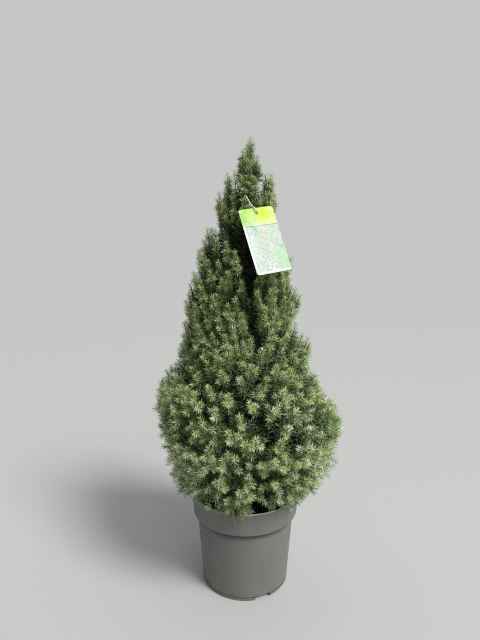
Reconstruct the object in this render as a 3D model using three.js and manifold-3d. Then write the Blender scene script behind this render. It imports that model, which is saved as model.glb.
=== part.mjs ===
// A dwarf Alberta spruce in a nursery pot: a narrow cone of short, dense, upswept shoots on one straight stem,
// with a printed card tied to it. Millimetres, +Z up. The origin is the centre of the pot's foot, on the surface
// that it stands on. +X is the right of the plant and -Y its front, where the card hangs.
import * as THREE from "three";
import Module from "manifold-3d";

const wasm = await Module();
wasm.setup();

// ---- Driving dimensions ----
const gap = 0.35; // between neighbouring solids that touch on the real plant
const goldenAngle = Math.PI * (3 - Math.sqrt(5));
const goldenRatio = (Math.sqrt(5) - 1) / 2;

const pot = {
  height: 168,
  rimRadius: 95,
  lipHeight: 4, // the rolled edge at the top
  lipProud: 1.2,
  bandBottom: 128, // lower edge of the deep rim band
  bandBottomRadius: 91.5,
  bodyTopRadius: 85,
  footRadius: 75.5,
  footRound: 2,
  wall: 2,
  floorThickness: 2.5,
  channelHeight: 7, // a drained channel in the underside, between the flat middle and the foot ring
  channelInner: 48,
  channelOuter: 68.5,
  notches: 3,
  notchAzimuth: -67, // degrees from +X
  notchWidth: 27,
  notchHeight: 7,
  holes: 6,
  holeRadius: 5,
  holeCircle: 58,
  sides: 36,
};

const compost = { top: 150, mound: 3 };

const trunk = {
  foot: compost.top + compost.mound + gap,
  tip: 682,
  footRadius: 9,
  flareRadius: 14,
  flareHeight: 16,
  tipRadius: 2,
  lean: 6, // how far the tip stands to the right of the pot's axis
  sway: 4,
  rings: 9,
  sides: 7,
};

// The crown's outline from the skirt over the pot to the leader: [height, radius, how far it sits to the right].
const crown = {
  bottom: 176,
  top: 764,
  outline: [
    [166, 112, 3], [178, 126, 2], [190, 136, 2], [207, 148, 8], [233, 156, 14], [262, 152, 6], [285, 160, 9],
    [323, 158, -2], [361, 139, -5], [398, 120, -6], [434, 113, 1], [471, 97, -7], [506, 102, -4],
    [555, 84, -8], [600, 68, -7], [633, 52, 0], [666, 47, 1], [690, 40, 6], [706, 34, 6], [718, 19, 5], [740, 12, 5],
    [764, 4, 6],
  ],
  sprays: 240,
  crowding: 22, // sprays are this much closer at the top, as if the crown were wider by it
  valley: 12, // how much further in the surface lies between two masses than over one
  hanging: [ // shoots that droop beside the pot's rim
    { azimuth: -98, radius: 116, height: 172 },
    { azimuth: -22, radius: 138, height: 170 },
    { azimuth: 196, radius: 124, height: 168 },
  ],
};

// Each tier is a ring of masses on upswept stems. azimuth is the first stem's, in degrees from +X. The stem is a
// bare bough up to the fraction bough of its length, and its mass has a core from the fraction core on.
const tiers = [
  { name: "skirt", count: 6, root: 178, tip: 190, azimuth: -96, bough: 0.3, core: 0.36, girth: 40 },
  { name: "lower", count: 6, root: 205, tip: 272, azimuth: -4, bough: 0.3, core: 0.36, girth: 44 },
  { name: "middle", count: 5, root: 262, tip: 354, azimuth: 20, bough: 0.26, core: 0.32, girth: 42 },
  { name: "waist", count: 4, root: 330, tip: 428, azimuth: -12, bough: 0.22, core: 0.28, girth: 40 },
  { name: "upper", count: 4, root: 415, tip: 528, azimuth: -142, bough: 0, core: 0.2, girth: 34 },
  { name: "shoulder", count: 4, root: 492, tip: 598, azimuth: -178, bough: 0, core: 0.24, girth: 26 },
  { name: "crest", count: 4, root: 575, tip: 676, azimuth: -4, bough: 0, core: 0.34, girth: 15 },
];
const stem = {
  inset: 24, // from the stem's tip to the crown's outline
  swing: 0.16, // radians of azimuth jitter
  lift: 10, // jitter in height
  outward: 0.62, // where along the reach the stem starts to turn up
  rise: 0.22, // how much of its height it has gained there
  rootRadius: 4.2,
  tipRadius: 1.2,
  samples: 10,
};
const leader = { tip: 744, core: 0.06, girth: 11 };

const spray = {
  length: 44, // needled part, at the foot of the crown
  radius: 12, // over the needles' tips, at the foot of the crown
  topScale: 0.62, // both shrink to this at the leader
  twigLength: 58, // from the stem to the tip
  twigRadius: 1.3,
  sides: 3,
  buried: 0.08, // with more than this of it in the core, a spray keeps only its outer whorl
};

const card = {
  width: 56,
  length: 106,
  thickness: 0.8,
  corner: 4,
  holeRadius: 2.5,
  holeInset: 8,
  centre: new THREE.Vector3(28, -70, 600),
  lean: 24, // degrees that its foot stands out from the vertical
  roll: 9, // degrees that it is turned in its own plane
  turn: 18, // degrees that its right edge stands back
};
const tie = {
  radius: 0.9,
  slack: 1.6,
  height: 664,
  steps: 28,
  sides: 5,
  drift: new THREE.Vector3(-4, 0, 0), // where it crosses the card's edge, from straight above the hole
  swing: new THREE.Vector3(-6, -12, 15), // how far its left side swings out, past the trunk's own width
};

// ---- Small helpers ----
const degrees = THREE.MathUtils.degToRad;
const lerp = THREE.MathUtils.lerp;
const clamp = THREE.MathUtils.clamp;

// A repeatable number from -0.5 to 0.5 for item i; each stream k is a different sequence.
function jitter(i, k) {
  const x = (i + 1) * goldenRatio * (1 + 0.37 * k) + 0.713 * k;
  return x - Math.floor(x) - 0.5;
}

function polar(radius, azimuth, z) {
  return new THREE.Vector3(radius * Math.cos(azimuth), radius * Math.sin(azimuth), z);
}

// Looks a value up in [[x, y], ...], with straight lines between the entries.
function along(table, x, column = 1) {
  const n = table.findIndex(([at]) => at >= x);
  if (n <= 0) return n < 0 ? table[table.length - 1][column] : table[0][column];
  const [low, high] = [table[n - 1], table[n]];
  return lerp(low[column], high[column], (x - low[0]) / (high[0] - low[0]));
}

function solidOf(geometry) {
  const vertProperties = new Float32Array(geometry.getAttribute("position").array);
  const triVerts = new Uint32Array(geometry.index.array);
  return new wasm.Manifold(new wasm.Mesh({ numProp: 3, vertProperties, triVerts }));
}

function geometryOf(solid) {
  const mesh = solid.getMesh();
  const geometry = new THREE.BufferGeometry();
  geometry.setAttribute("position", new THREE.BufferAttribute(mesh.vertProperties, 3));
  geometry.setIndex(new THREE.BufferAttribute(mesh.triVerts, 1));
  geometry.computeVertexNormals();
  return geometry;
}

// The largest body of a solid, on a grid of 0.002 mm: a scrap that a cut leaves loose is dropped, and a sealed
// hollow is filled.
function mainBody(solid) {
  const largest = (s) => s.decompose().reduce((a, b) => (b.volume() > a.volume() ? b : a));
  return largest(weldedSolid(geometryOf(largest(solid)), 500));
}

// Whether two sheets of a solid's surface meet along an edge, which then has four faces.
function isPinched(solid) {
  const { vertProperties: at, triVerts } = solid.getMesh();
  const spot = (v) => [0, 1, 2].map((c) => at[3 * v + c].toFixed(3)).join();
  const count = new Map();
  for (let i = 0; i < triVerts.length; i++) {
    const next = i % 3 === 2 ? i - 2 : i + 1;
    const edge = [spot(triVerts[i]), spot(triVerts[next])].sort().join(" ");
    count.set(edge, (count.get(edge) ?? 0) + 1);
  }
  return [...count.values()].some((n) => n !== 2);
}

// Joins rings of points, each with the same number, into one closed body, with an apex past the last if there is one.
function skin(rings, { closed = false, apex = null } = {}) {
  const sides = rings[0].length;
  const positions = rings.flat().flatMap((p) => [p.x, p.y, p.z]);
  const index = [];
  const bands = closed ? rings.length : rings.length - 1;
  for (let r = 0; r < bands; r++) {
    const low = r * sides;
    const high = ((r + 1) % rings.length) * sides;
    for (let s = 0; s < sides; s++) {
      const t = (s + 1) % sides;
      index.push(low + s, low + t, high + t, low + s, high + t, high + s);
    }
  }
  const last = (rings.length - 1) * sides;
  if (!closed) {
    for (let s = 1; s < sides - 1; s++) index.push(0, s + 1, s);
  }
  if (apex) {
    positions.push(apex.x, apex.y, apex.z);
    for (let s = 0; s < sides; s++) index.push(last + s, last + ((s + 1) % sides), last + sides);
  } else if (!closed) {
    for (let s = 1; s < sides - 1; s++) index.push(last, last + s, last + s + 1);
  }
  const geometry = new THREE.BufferGeometry();
  geometry.setAttribute("position", new THREE.BufferAttribute(new Float32Array(positions), 3));
  geometry.setIndex(index);
  return geometry;
}

// Two unit vectors square to a direction.
function across(direction) {
  const helper = Math.abs(direction.z) > 0.8 ? new THREE.Vector3(1, 0, 0) : new THREE.Vector3(0, 0, 1);
  const u = new THREE.Vector3().crossVectors(helper, direction).normalize();
  const v = new THREE.Vector3().crossVectors(direction, u);
  return [u, v];
}

function ring(centre, [u, v], radius, sides, turn = 0) {
  return Array.from({ length: sides }, (_, s) => {
    const a = turn + (2 * Math.PI * s) / sides;
    return centre.clone().addScaledVector(u, radius * Math.cos(a)).addScaledVector(v, radius * Math.sin(a));
  });
}

// A tapering limb along points, with a radius at each.
function limb(points, radii, sides) {
  const frame = across(points[points.length - 1].clone().sub(points[0]).normalize());
  return skin(points.map((p, i) => ring(p, frame, radii[i], sides)));
}

// ---- The pot and what fills it ----
function bodyRadius(z) {
  return lerp(pot.footRadius, pot.bodyTopRadius, z / pot.bandBottom);
}

// The inside of the pot, from the floor to the rim: [height, radius].
const potInside = [
  [pot.channelHeight + pot.floorThickness, bodyRadius(pot.channelHeight) - pot.wall],
  [pot.bandBottom + pot.wall - 1, pot.bodyTopRadius - pot.wall],
  [pot.bandBottom + pot.wall + 1.5, pot.bandBottomRadius - pot.wall],
  [pot.height, pot.rimRadius - pot.lipProud - pot.wall],
];

function potSolid() {
  const p = pot;
  const outer = [
    [p.footRadius - p.footRound, 0],
    [p.footRadius, p.footRound],
    [p.bodyTopRadius, p.bandBottom],
    [p.bandBottomRadius - 1, p.bandBottom],
    [p.bandBottomRadius, p.bandBottom + 1.5],
    [p.rimRadius - p.lipProud, p.height - p.lipHeight],
    [p.rimRadius, p.height - p.lipHeight + 1],
    [p.rimRadius, p.height - 1],
    [p.rimRadius - 1, p.height],
  ];
  const inner = [
    ...potInside.map(([z, r]) => [r, z]).reverse(),
    [p.channelInner - p.floorThickness, p.channelHeight + p.floorThickness],
    [p.channelInner - 2 - p.floorThickness, p.floorThickness],
    [0, p.floorThickness],
    [0, 0],
    [p.channelInner - 2, 0],
    [p.channelInner, p.channelHeight],
    [p.channelOuter, p.channelHeight],
    [p.footRadius - p.footRound - 2.5, 0],
  ];
  const profile = [...outer, ...inner].map(([r, z]) => new THREE.Vector2(r, z));
  profile.push(profile[0].clone());
  let body = turned(profile, p.sides);
  for (let n = 0; n < p.notches; n++) {
    const azimuth = degrees(p.notchAzimuth + (360 / p.notches) * n);
    const notch = new THREE.BoxGeometry(20, p.notchWidth, 2 * p.notchHeight);
    notch.deleteAttribute("normal");
    notch.deleteAttribute("uv");
    notch.rotateZ(azimuth).translate(...polar(p.footRadius, azimuth, 0).toArray());
    body = body.subtract(weldedSolid(notch));
  }
  for (let n = 0; n < p.holes; n++) {
    const azimuth = (2 * Math.PI * n) / p.holes + degrees(p.notchAzimuth);
    const drill = new THREE.CylinderGeometry(p.holeRadius, p.holeRadius, 4 * p.floorThickness, 12);
    drill.rotateX(Math.PI / 2).translate(...polar(p.holeCircle, azimuth, p.channelHeight).toArray());
    body = body.subtract(weldedSolid(drill));
  }
  return body;
}

// A profile of (radius, height) turned about the Z axis.
function turned(profile, sides) {
  const lathe = new THREE.LatheGeometry(profile, sides).rotateX(Math.PI / 2);
  return weldedSolid(lathe);
}

// A three.js geometry with its seams closed, as a solid that faces out. grid is the number of steps in a millimetre.
function weldedSolid(geometry, grid = 1e4) {
  const source = geometry.index ? geometry.toNonIndexed() : geometry;
  const position = source.getAttribute("position");
  const seen = new Map();
  const points = [];
  const corner = [];
  for (let i = 0; i < position.count; i++) {
    const p = [position.getX(i), position.getY(i), position.getZ(i)].map((c) => Math.round(c * grid) / grid);
    const key = p.join();
    if (!seen.has(key)) {
      seen.set(key, points.length / 3);
      points.push(...p);
    }
    corner.push(seen.get(key));
  }
  const index = [];
  for (let i = 0; i < corner.length; i += 3) {
    const [a, b, c] = corner.slice(i, i + 3);
    if (a !== b && b !== c && c !== a) index.push(a, b, c);
  }
  const make = (triangles) => {
    const welded = new THREE.BufferGeometry();
    welded.setAttribute("position", new THREE.BufferAttribute(new Float32Array(points), 3));
    welded.setIndex(triangles);
    return solidOf(welded);
  };
  const made = make(index);
  if (made.volume() > 0) return made;
  const turnedOver = [];
  for (let i = 0; i < index.length; i += 3) turnedOver.push(index[i], index[i + 2], index[i + 1]);
  return make(turnedOver);
}

function compostSolid() {
  const [floor, step, band] = potInside;
  const inside = (z) => along(potInside, z) - gap;
  const profile = [
    [0, pot.floorThickness + gap],
    [pot.channelInner - 2 - pot.floorThickness - gap, pot.floorThickness + gap],
    [pot.channelInner - pot.floorThickness - gap, floor[0] + gap],
    [inside(floor[0]), floor[0] + gap],
    [inside(step[0]), step[0]],
    [inside(band[0]), band[0] + gap],
    [inside(compost.top), compost.top - 2],
    [inside(compost.top) - 8, compost.top],
    [trunk.flareRadius + 18, compost.top + compost.mound],
    [0, compost.top + compost.mound],
  ];
  return turned(profile.map(([r, z]) => new THREE.Vector2(r, z)), pot.sides);
}

// ---- The trunk ----
// The trunk's axis at a height.
function trunkAxis(z) {
  const t = (z - trunk.foot) / (trunk.tip - trunk.foot);
  const x = trunk.lean * t * t - trunk.sway * Math.sin(Math.PI * t);
  const y = trunk.sway * 0.5 * Math.sin(2 * Math.PI * t);
  return new THREE.Vector3(x, y, z);
}

function trunkRadius(z) {
  const t = clamp((z - trunk.foot) / (trunk.tip - trunk.foot), 0, 1);
  const taper = lerp(trunk.footRadius, trunk.tipRadius, Math.pow(t, 0.85));
  const flare = Math.max(0, 1 - (z - trunk.foot) / trunk.flareHeight);
  return taper + (trunk.flareRadius - trunk.footRadius) * flare * flare;
}

// The trunk as a solid, or the space that it needs with some clearance round it.
function trunkSolid(clearance = 0) {
  const flareRings = [0, 0.35, 1].map((t) => trunk.foot + t * trunk.flareHeight);
  const above = Array.from({ length: trunk.rings }, (_, i) =>
    lerp(trunk.foot + trunk.flareHeight, trunk.tip, (i + 1) / trunk.rings),
  );
  const heights = [...flareRings, ...above];
  const points = heights.map(trunkAxis);
  points[0].z -= clearance;
  points[points.length - 1].z += clearance;
  const radii = heights.map((z) => trunkRadius(z) + clearance);
  const frame = across(new THREE.Vector3(0, 0, 1));
  return solidOf(skin(points.map((p, i) => ring(p, frame, radii[i], trunk.sides))));
}

// ---- The stems: one upswept curve for each mass ----
function outlineRadius(z) {
  return along(crown.outline, z);
}

function outlinePoint(azimuth, z, inset = 0) {
  const centre = new THREE.Vector3(along(crown.outline, z, 2), 0, 0);
  return polar(Math.max(0, outlineRadius(z) - inset), azimuth, z).add(centre);
}

// How far under the crown's outline a point lies.
function depthIn(p) {
  return outlineRadius(p.z) - Math.hypot(p.x - along(crown.outline, p.z, 2), p.y);
}

function buildStems() {
  const stems = [];
  for (const tier of tiers) {
    for (let n = 0; n < tier.count; n++) {
      const i = stems.length;
      const azimuth = degrees(tier.azimuth) + (2 * Math.PI * n) / tier.count + stem.swing * 2 * jitter(i, 1);
      const tipHeight = tier.tip + stem.lift * 2 * jitter(i, 2);
      const rootHeight = tier.root + stem.lift * jitter(i, 3);
      const root = trunkAxis(rootHeight);
      const tip = outlinePoint(azimuth, tipHeight, stem.inset * sprayScale(tipHeight));
      const turn = root.clone().lerp(tip, stem.outward).setZ(lerp(rootHeight, tipHeight, stem.rise));
      const curve = new THREE.QuadraticBezierCurve3(root, turn, tip);
      stems.push({
        name: tier.name + "_" + (n + 1),
        curve,
        points: curve.getPoints(stem.samples),
        bough: tier.bough,
        core: tier.core,
        girth: tier.girth,
        radiusAt: (t) => lerp(stem.rootRadius, stem.tipRadius, t) * sprayScale(tipHeight) ** 2,
      });
    }
  }
  const foot = trunkAxis(trunk.tip);
  const curve = new THREE.QuadraticBezierCurve3(
    foot,
    foot.clone().setZ(lerp(trunk.tip, leader.tip, 0.5)),
    new THREE.Vector3(trunk.lean + 1, 0, leader.tip),
  );
  const radiusAt = (t) => lerp(trunk.tipRadius, stem.tipRadius, t);
  stems.push({ name: "leader", curve, points: curve.getPoints(stem.samples), bough: 0, ...leader, radiusAt });
  return stems;
}

// The distance from a point to a run of points joined by straight lines, and where along it that is, from 0 to 1.
function nearestOn(points, p) {
  let best = { distance: Infinity, t: 0 };
  const line = new THREE.Line3();
  const foot = new THREE.Vector3();
  for (let i = 0; i < points.length - 1; i++) {
    line.set(points[i], points[i + 1]);
    const s = line.closestPointToPointParameter(p, true);
    const distance = line.at(s, foot).distanceTo(p);
    if (distance < best.distance) best = { distance, t: (i + s) / (points.length - 1) };
  }
  return best;
}

const stems = buildStems();

// How far a point lies inside the space of stem k: half of how much nearer it is to that stem than to any other.
function roomIn(k, p) {
  const own = nearestOn(stems[k].points, p).distance;
  let other = Infinity;
  stems.forEach((s, j) => {
    if (j !== k) other = Math.min(other, nearestOn(s.points, p).distance);
  });
  return (other - own) / 2;
}

// ---- The card and its tie ----
const cardTurn = new THREE.Matrix4()
  .makeTranslation(card.centre)
  .multiply(new THREE.Matrix4().makeRotationZ(degrees(card.turn)))
  .multiply(new THREE.Matrix4().makeRotationX(degrees(90 - card.lean)))
  .multiply(new THREE.Matrix4().makeRotationZ(degrees(card.roll)));
const cardInverse = cardTurn.clone().invert();
const cardHole = new THREE.Vector3(0, card.length / 2 - card.holeInset, 0).applyMatrix4(cardTurn);

// How far behind the card a point lies; a point past its edges isn't held back by it.
function clearOfCard(p) {
  const q = p.clone().applyMatrix4(cardInverse);
  const margin = 4;
  const beside = Math.max(Math.abs(q.x) - card.width / 2, Math.abs(q.y) - card.length / 2) - margin;
  return Math.max(-q.z - card.thickness, beside);
}

function cardSolid() {
  const { width: w, length: l, corner: c } = card;
  const outline = new THREE.Shape();
  outline.moveTo(-w / 2 + c, -l / 2);
  outline.lineTo(w / 2 - c, -l / 2);
  outline.absarc(w / 2 - c, -l / 2 + c, c, -Math.PI / 2, 0);
  outline.lineTo(w / 2, l / 2 - c);
  outline.absarc(w / 2 - c, l / 2 - c, c, 0, Math.PI / 2);
  outline.lineTo(-w / 2 + c, l / 2);
  outline.absarc(-w / 2 + c, l / 2 - c, c, Math.PI / 2, Math.PI);
  outline.lineTo(-w / 2, -l / 2 + c);
  outline.absarc(-w / 2 + c, -l / 2 + c, c, Math.PI, 1.5 * Math.PI);
  const hole = new THREE.Path();
  hole.absarc(0, l / 2 - card.holeInset, card.holeRadius, 0, 2 * Math.PI, true);
  outline.holes.push(hole);
  const plate = new THREE.ExtrudeGeometry(outline, {
    depth: card.thickness,
    bevelEnabled: false,
    curveSegments: 4,
  });
  plate.translate(0, 0, -card.thickness / 2).applyMatrix4(cardTurn);
  return weldedSolid(plate);
}

// A loop through the card's hole and round the trunk.
function tieCurve() {
  const back = trunkAxis(tie.height);
  const wrap = trunkRadius(tie.height) + tie.radius + tie.slack;
  const out = new THREE.Vector3(0, 0, 1).transformDirection(cardTurn);
  const edge = new THREE.Vector3(0, 1, 0).transformDirection(cardTurn);
  const through = tie.radius + tie.slack;
  const middle = back.clone().lerp(cardHole, 0.5);
  return new THREE.CatmullRomCurve3(
    [
      cardHole.clone(),
      cardHole.clone().addScaledVector(out, through + 1).addScaledVector(edge, 2.5),
      cardHole.clone().addScaledVector(edge, card.holeInset + 3).addScaledVector(out, 1.5).add(tie.drift),
      middle.clone().add(new THREE.Vector3(-wrap, 0, 0)).add(tie.swing),
      back.clone().add(new THREE.Vector3(-wrap, -wrap * 0.4, 0)),
      back.clone().add(new THREE.Vector3(0, wrap, 0)),
      back.clone().add(new THREE.Vector3(wrap, -wrap * 0.4, 0)),
      middle.clone().add(new THREE.Vector3(wrap, 0, -1)),
      cardHole.clone().addScaledVector(out, -through - 2.5).addScaledVector(edge, 1.5),
    ],
    true,
    "centripetal",
  );
}

const tiePath = tieCurve();

function tieSolid(radius) {
  const frames = tiePath.computeFrenetFrames(tie.steps, true);
  const rings = Array.from({ length: tie.steps }, (_, i) =>
    ring(tiePath.getPointAt(i / tie.steps), [frames.normals[i], frames.binormals[i]], radius, tie.sides),
  );
  return weldedSolid(skin(rings, { closed: true }));
}

// ---- The sprays ----
// How steeply shoots rise at a height, in radians above the horizontal.
function shootRise(z) {
  return degrees(along([[160, -12], [200, 6], [260, 26], [340, 38], [480, 52], [640, 66], [764, 86]], z));
}

function sprayScale(z) {
  return lerp(1, spray.topScale, clamp((z - 300) / (crown.top - 300), 0, 1));
}

// Spray tips spread evenly over the crown's outline, each given to the mass whose stem is nearest.
function sprayTips() {
  const steps = 600;
  const heights = Array.from({ length: steps + 1 }, (_, i) => lerp(crown.bottom, crown.top, i / steps));
  const area = [0];
  for (let i = 1; i <= steps; i++) area.push(area[i - 1] + outlineRadius(heights[i]) + crown.crowding);
  const tips = [];
  for (let i = 0; i < crown.sprays; i++) {
    const want = ((i + 0.5) / crown.sprays) * area[steps];
    const at = area.findIndex((a) => a >= want);
    const z = heights[at] + 8 * jitter(i, 4);
    const azimuth = i * goldenAngle + 0.25 * jitter(i, 5);
    const surface = outlinePoint(azimuth, z);
    const near = stems.map((s, k) => ({ k, d: nearestOn(s.points, surface).distance }));
    near.sort((a, b) => a.d - b.d);
    const between = near[0].d / near[1].d;
    const pull = crown.valley * sprayScale(z) * Math.pow(between, 3) + 4 * (0.5 + jitter(i, 6));
    tips.push({ tip: outlinePoint(azimuth, z, pull), owner: near[0].k, azimuth });
  }
  for (const hung of crown.hanging) {
    const azimuth = degrees(hung.azimuth);
    const tip = polar(hung.radius, azimuth, hung.height);
    const near = stems.map((s, k) => ({ k, d: nearestOn(s.points, tip).distance }));
    tips.push({ tip, owner: near.reduce((a, b) => (b.d < a.d ? b : a)).k, azimuth });
  }
  return tips;
}

// A twig whose outer part carries one or two whorls of needles and ends in a point.
function spraySolid({ root, tip, scale, turn }, whorls = 2) {
  const direction = tip.clone().sub(root).normalize();
  const frame = across(direction);
  const at = (back) => tip.clone().addScaledVector(direction, -back * spray.length * scale);
  const full = spray.radius * scale;
  const whorl = (back, depth, radius, neck, angle) => [
    ring(at(back), frame, radius * full, spray.sides, angle),
    ring(at(back + depth), frame, neck * full, spray.sides, angle),
  ];
  const rings = [ring(root, frame, spray.twigRadius, spray.sides, turn)];
  if (whorls > 1) rings.push(...whorl(0.42, 0.14, 1, 0.36, turn));
  rings.push(...whorl(whorls > 1 ? 0.13 : 0.2, 0.11, 0.72, 0.26, turn + Math.PI / spray.sides));
  return solidOf(skin(rings, { apex: tip }));
}

// ---- The masses ----
// A lumpy core round the outer part of a stem, kept inside the mass's own space and well under the sprays' tips.
function coreSolid(k) {
  const own = stems[k];
  const sides = 6;
  const stations = [0, 0.22, 0.5, 0.78].map((s) => lerp(own.core, 1, s));
  const swell = [0.8, 1.1, 1.1, 0.8];
  const up = new THREE.Vector3(0, 0, 1);
  const rings = stations.map((t, n) => {
    const centre = own.curve.getPoint(t);
    const frame = across(own.curve.getTangent(t));
    return Array.from({ length: sides }, (_, s) => {
      const a = (2 * Math.PI * (s + 0.5 * (n % 2))) / sides;
      const out = frame[0].clone().multiplyScalar(Math.cos(a)).addScaledVector(frame[1], Math.sin(a));
      const wide = 1 + 0.5 * (1 - Math.abs(out.dot(up))); // a mass is wider than it is tall
      let radius = own.girth * swell[n] * wide * (1 + 0.3 * jitter(s + sides * n + 31 * k, 7));
      while (radius > 1 && !fits(centre.clone().addScaledVector(out, radius))) radius -= 1;
      return centre.clone().addScaledVector(out, radius);
    });
  });
  function fits(p) {
    const overPot = p.z > pot.height + 4 || Math.hypot(p.x, p.y) > pot.rimRadius + 6;
    const deep = depthIn(p) > 0.72 * spray.length * sprayScale(p.z);
    return roomIn(k, p) > 1.6 && deep && overPot && clearOfCard(p) > 3;
  }
  return solidOf(skin(rings, { apex: own.curve.getPoint(1) }));
}

const cores = stems.map((_, k) => coreSolid(k));

// Whether a twig and its spray stay in the mass's own space, and clear of the pot, the limbs, the card and the tie.
function sprayFits(k, root, tip, scale) {
  const samples = 8;
  const tieSamples = tiePath.getPoints(tie.steps);
  for (let n = 1; n <= samples; n++) {
    const p = root.clone().lerp(tip, n / samples);
    const fromTip = p.distanceTo(tip) / (spray.length * scale);
    const half = along([[0, 0.4], [0.13, 0.75], [0.42, 1], [0.7, 0.6], [1, 0.2]], fromTip) * spray.radius * scale;
    const fromAxis = Math.hypot(p.x, p.y);
    if (roomIn(k, p) < half + gap) return false;
    if (clearOfCard(p) < half + gap) return false;
    if (p.z < pot.height + half + 1 && fromAxis < pot.rimRadius + half + 1) return false;
    if (p.z < trunk.tip && p.distanceTo(trunkAxis(p.z)) < trunkRadius(p.z) + half + gap) return false;
    if (nearestOn(tieSamples, p).distance < tie.radius + half + gap) return false;
  }
  return true;
}

const trunkSpace = trunkSolid(gap);
const tieSpace = tieSolid(tie.radius + gap);

// The bare bough of a stem, or the space that it needs with some clearance round it.
function boughSolid(own, clearance = 0) {
  const steps = [0, 0.5, 1].map((s) => s * own.bough);
  const points = steps.map((t) => own.curve.getPoint(t));
  points[2].addScaledVector(own.curve.getTangent(own.bough), clearance);
  return solidOf(limb(points, steps.map((t) => own.radiusAt(t) + clearance), 5));
}

// A stem, its core and its sprays in one. Where two sheets would meet along an edge, the sprays are twisted a little.
function massSolid(own, k, tips, twist = 0) {
  const stations = [own.bough, lerp(own.bough, 1, 0.5), 1];
  const stemPoints = stations.map((t) => own.curve.getPoint(t));
  const parts = [solidOf(limb(stemPoints, stations.map(own.radiusAt), 5)), cores[k]];
  for (const tip of tips) {
    const placing = { ...tip, turn: tip.turn + twist };
    const whole = spraySolid(placing);
    const buried = whole.intersect(cores[k]).volume() / whole.volume();
    parts.push(buried > spray.buried ? spraySolid(placing, 1) : whole);
  }
  let mass = wasm.Manifold.union(parts).subtract(trunkSpace).subtract(tieSpace);
  if (own.bough > 0) mass = mass.subtract(boughSolid(own, gap));
  mass = mainBody(mass);
  return isPinched(mass) && twist < 1 ? massSolid(own, k, tips, twist + 0.1) : mass;
}

// Each tip gets a twig from its stem, set back so that the twig leans the way that shoots grow there.
function placeSprays() {
  const placed = stems.map(() => []);
  sprayTips().forEach(({ tip, owner, azimuth }, i) => {
    const own = stems[owner];
    const rise = shootRise(tip.z) + 0.3 * jitter(i, 8);
    const heading = polar(Math.cos(rise), azimuth, Math.sin(rise));
    const back = nearestOn(own.points, tip.clone().addScaledVector(heading, -spray.twigLength));
    const root = own.curve.getPoint(clamp(back.t, own.bough + 0.1, 0.93) + 0.06 * jitter(i, 10));
    for (const shrink of [1, 0.8, 0.65]) {
      const scale = shrink * sprayScale(tip.z);
      if (!sprayFits(owner, root, tip, scale)) continue;
      placed[owner].push({ tip, root, scale, turn: 6 * jitter(i, 9) });
      break;
    }
  });
  // the last spray carries the stem's own tip on
  stems.forEach((own, k) => {
    const root = own.curve.getPoint(0.9);
    const heading = own.curve.getTangent(1);
    const scale = sprayScale(root.z);
    const tip = own.curve.getPoint(1).addScaledVector(heading, own.name === "leader" ? crown.top - leader.tip : 26 * scale);
    if (own.name === "leader" || sprayFits(k, root, tip, scale)) placed[k].push({ tip, root, scale, turn: k });
  });
  return placed;
}

// ---- The assembly ----
const looks = {
  pot: new THREE.MeshStandardMaterial({ color: 0x74756f, roughness: 0.62, metalness: 0 }),
  compost: new THREE.MeshStandardMaterial({ color: 0x2a211a, roughness: 1, metalness: 0 }),
  bark: new THREE.MeshStandardMaterial({ color: 0x6b5443, roughness: 0.9, metalness: 0 }),
  needles: new THREE.MeshStandardMaterial({ color: 0x5c7540, roughness: 0.7, metalness: 0 }),
  card: new THREE.MeshStandardMaterial({ color: 0xdfeed0, roughness: 0.4, metalness: 0 }),
  tie: new THREE.MeshStandardMaterial({ color: 0xe8e6da, roughness: 0.6, metalness: 0 }),
};

const plant = new THREE.Group();

function add(name, solid, look) {
  const mesh = new THREE.Mesh(geometryOf(solid), look);
  mesh.name = name;
  plant.add(mesh);
}

add("pot", potSolid(), looks.pot);
add("compost", compostSolid(), looks.compost);
add("trunk", trunkSolid(), looks.bark);
const placed = placeSprays();
stems.forEach((own, k) => {
  if (own.bough > 0) add("bough_" + own.name, mainBody(boughSolid(own).subtract(trunkSpace)), looks.bark);
  add("foliage_" + own.name, massSolid(own, k, placed[k]), looks.needles);
});
add("plant_card", cardSolid(), looks.card);
add("card_tie", tieSolid(tie.radius), looks.tie);

export default plant;
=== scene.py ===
import math
import bpy
import bmesh
import numpy as np
from mathutils import Matrix, Vector, noise


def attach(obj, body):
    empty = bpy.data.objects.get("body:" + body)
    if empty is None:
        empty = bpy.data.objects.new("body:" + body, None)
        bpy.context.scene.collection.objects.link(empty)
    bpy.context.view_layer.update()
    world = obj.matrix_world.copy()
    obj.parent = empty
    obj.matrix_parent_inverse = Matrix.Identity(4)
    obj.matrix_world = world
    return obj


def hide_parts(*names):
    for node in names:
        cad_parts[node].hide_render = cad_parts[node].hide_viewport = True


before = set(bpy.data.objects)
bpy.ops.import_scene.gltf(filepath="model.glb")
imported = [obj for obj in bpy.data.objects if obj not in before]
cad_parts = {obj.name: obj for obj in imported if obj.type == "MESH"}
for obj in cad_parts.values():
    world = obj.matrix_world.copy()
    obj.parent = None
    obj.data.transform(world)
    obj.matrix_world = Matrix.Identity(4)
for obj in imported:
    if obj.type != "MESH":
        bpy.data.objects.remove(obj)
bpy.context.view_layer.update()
mm = 0.001
goldenAngle = math.pi * (3 - math.sqrt(5))
goldenRatio = (math.sqrt(5) - 1) / 2
print("frame loaded:", len(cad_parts), "nodes")


def addObject(name, data):
    item = bpy.data.objects.new(name, data)
    bpy.context.scene.collection.objects.link(item)
    return item


viewSettings = {
    "place": (-9.1, -800, 594),  # millimetres
    "pitch": 9.01,  # degrees below level
    "lens": 27,
    "film": 36,
}


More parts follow.
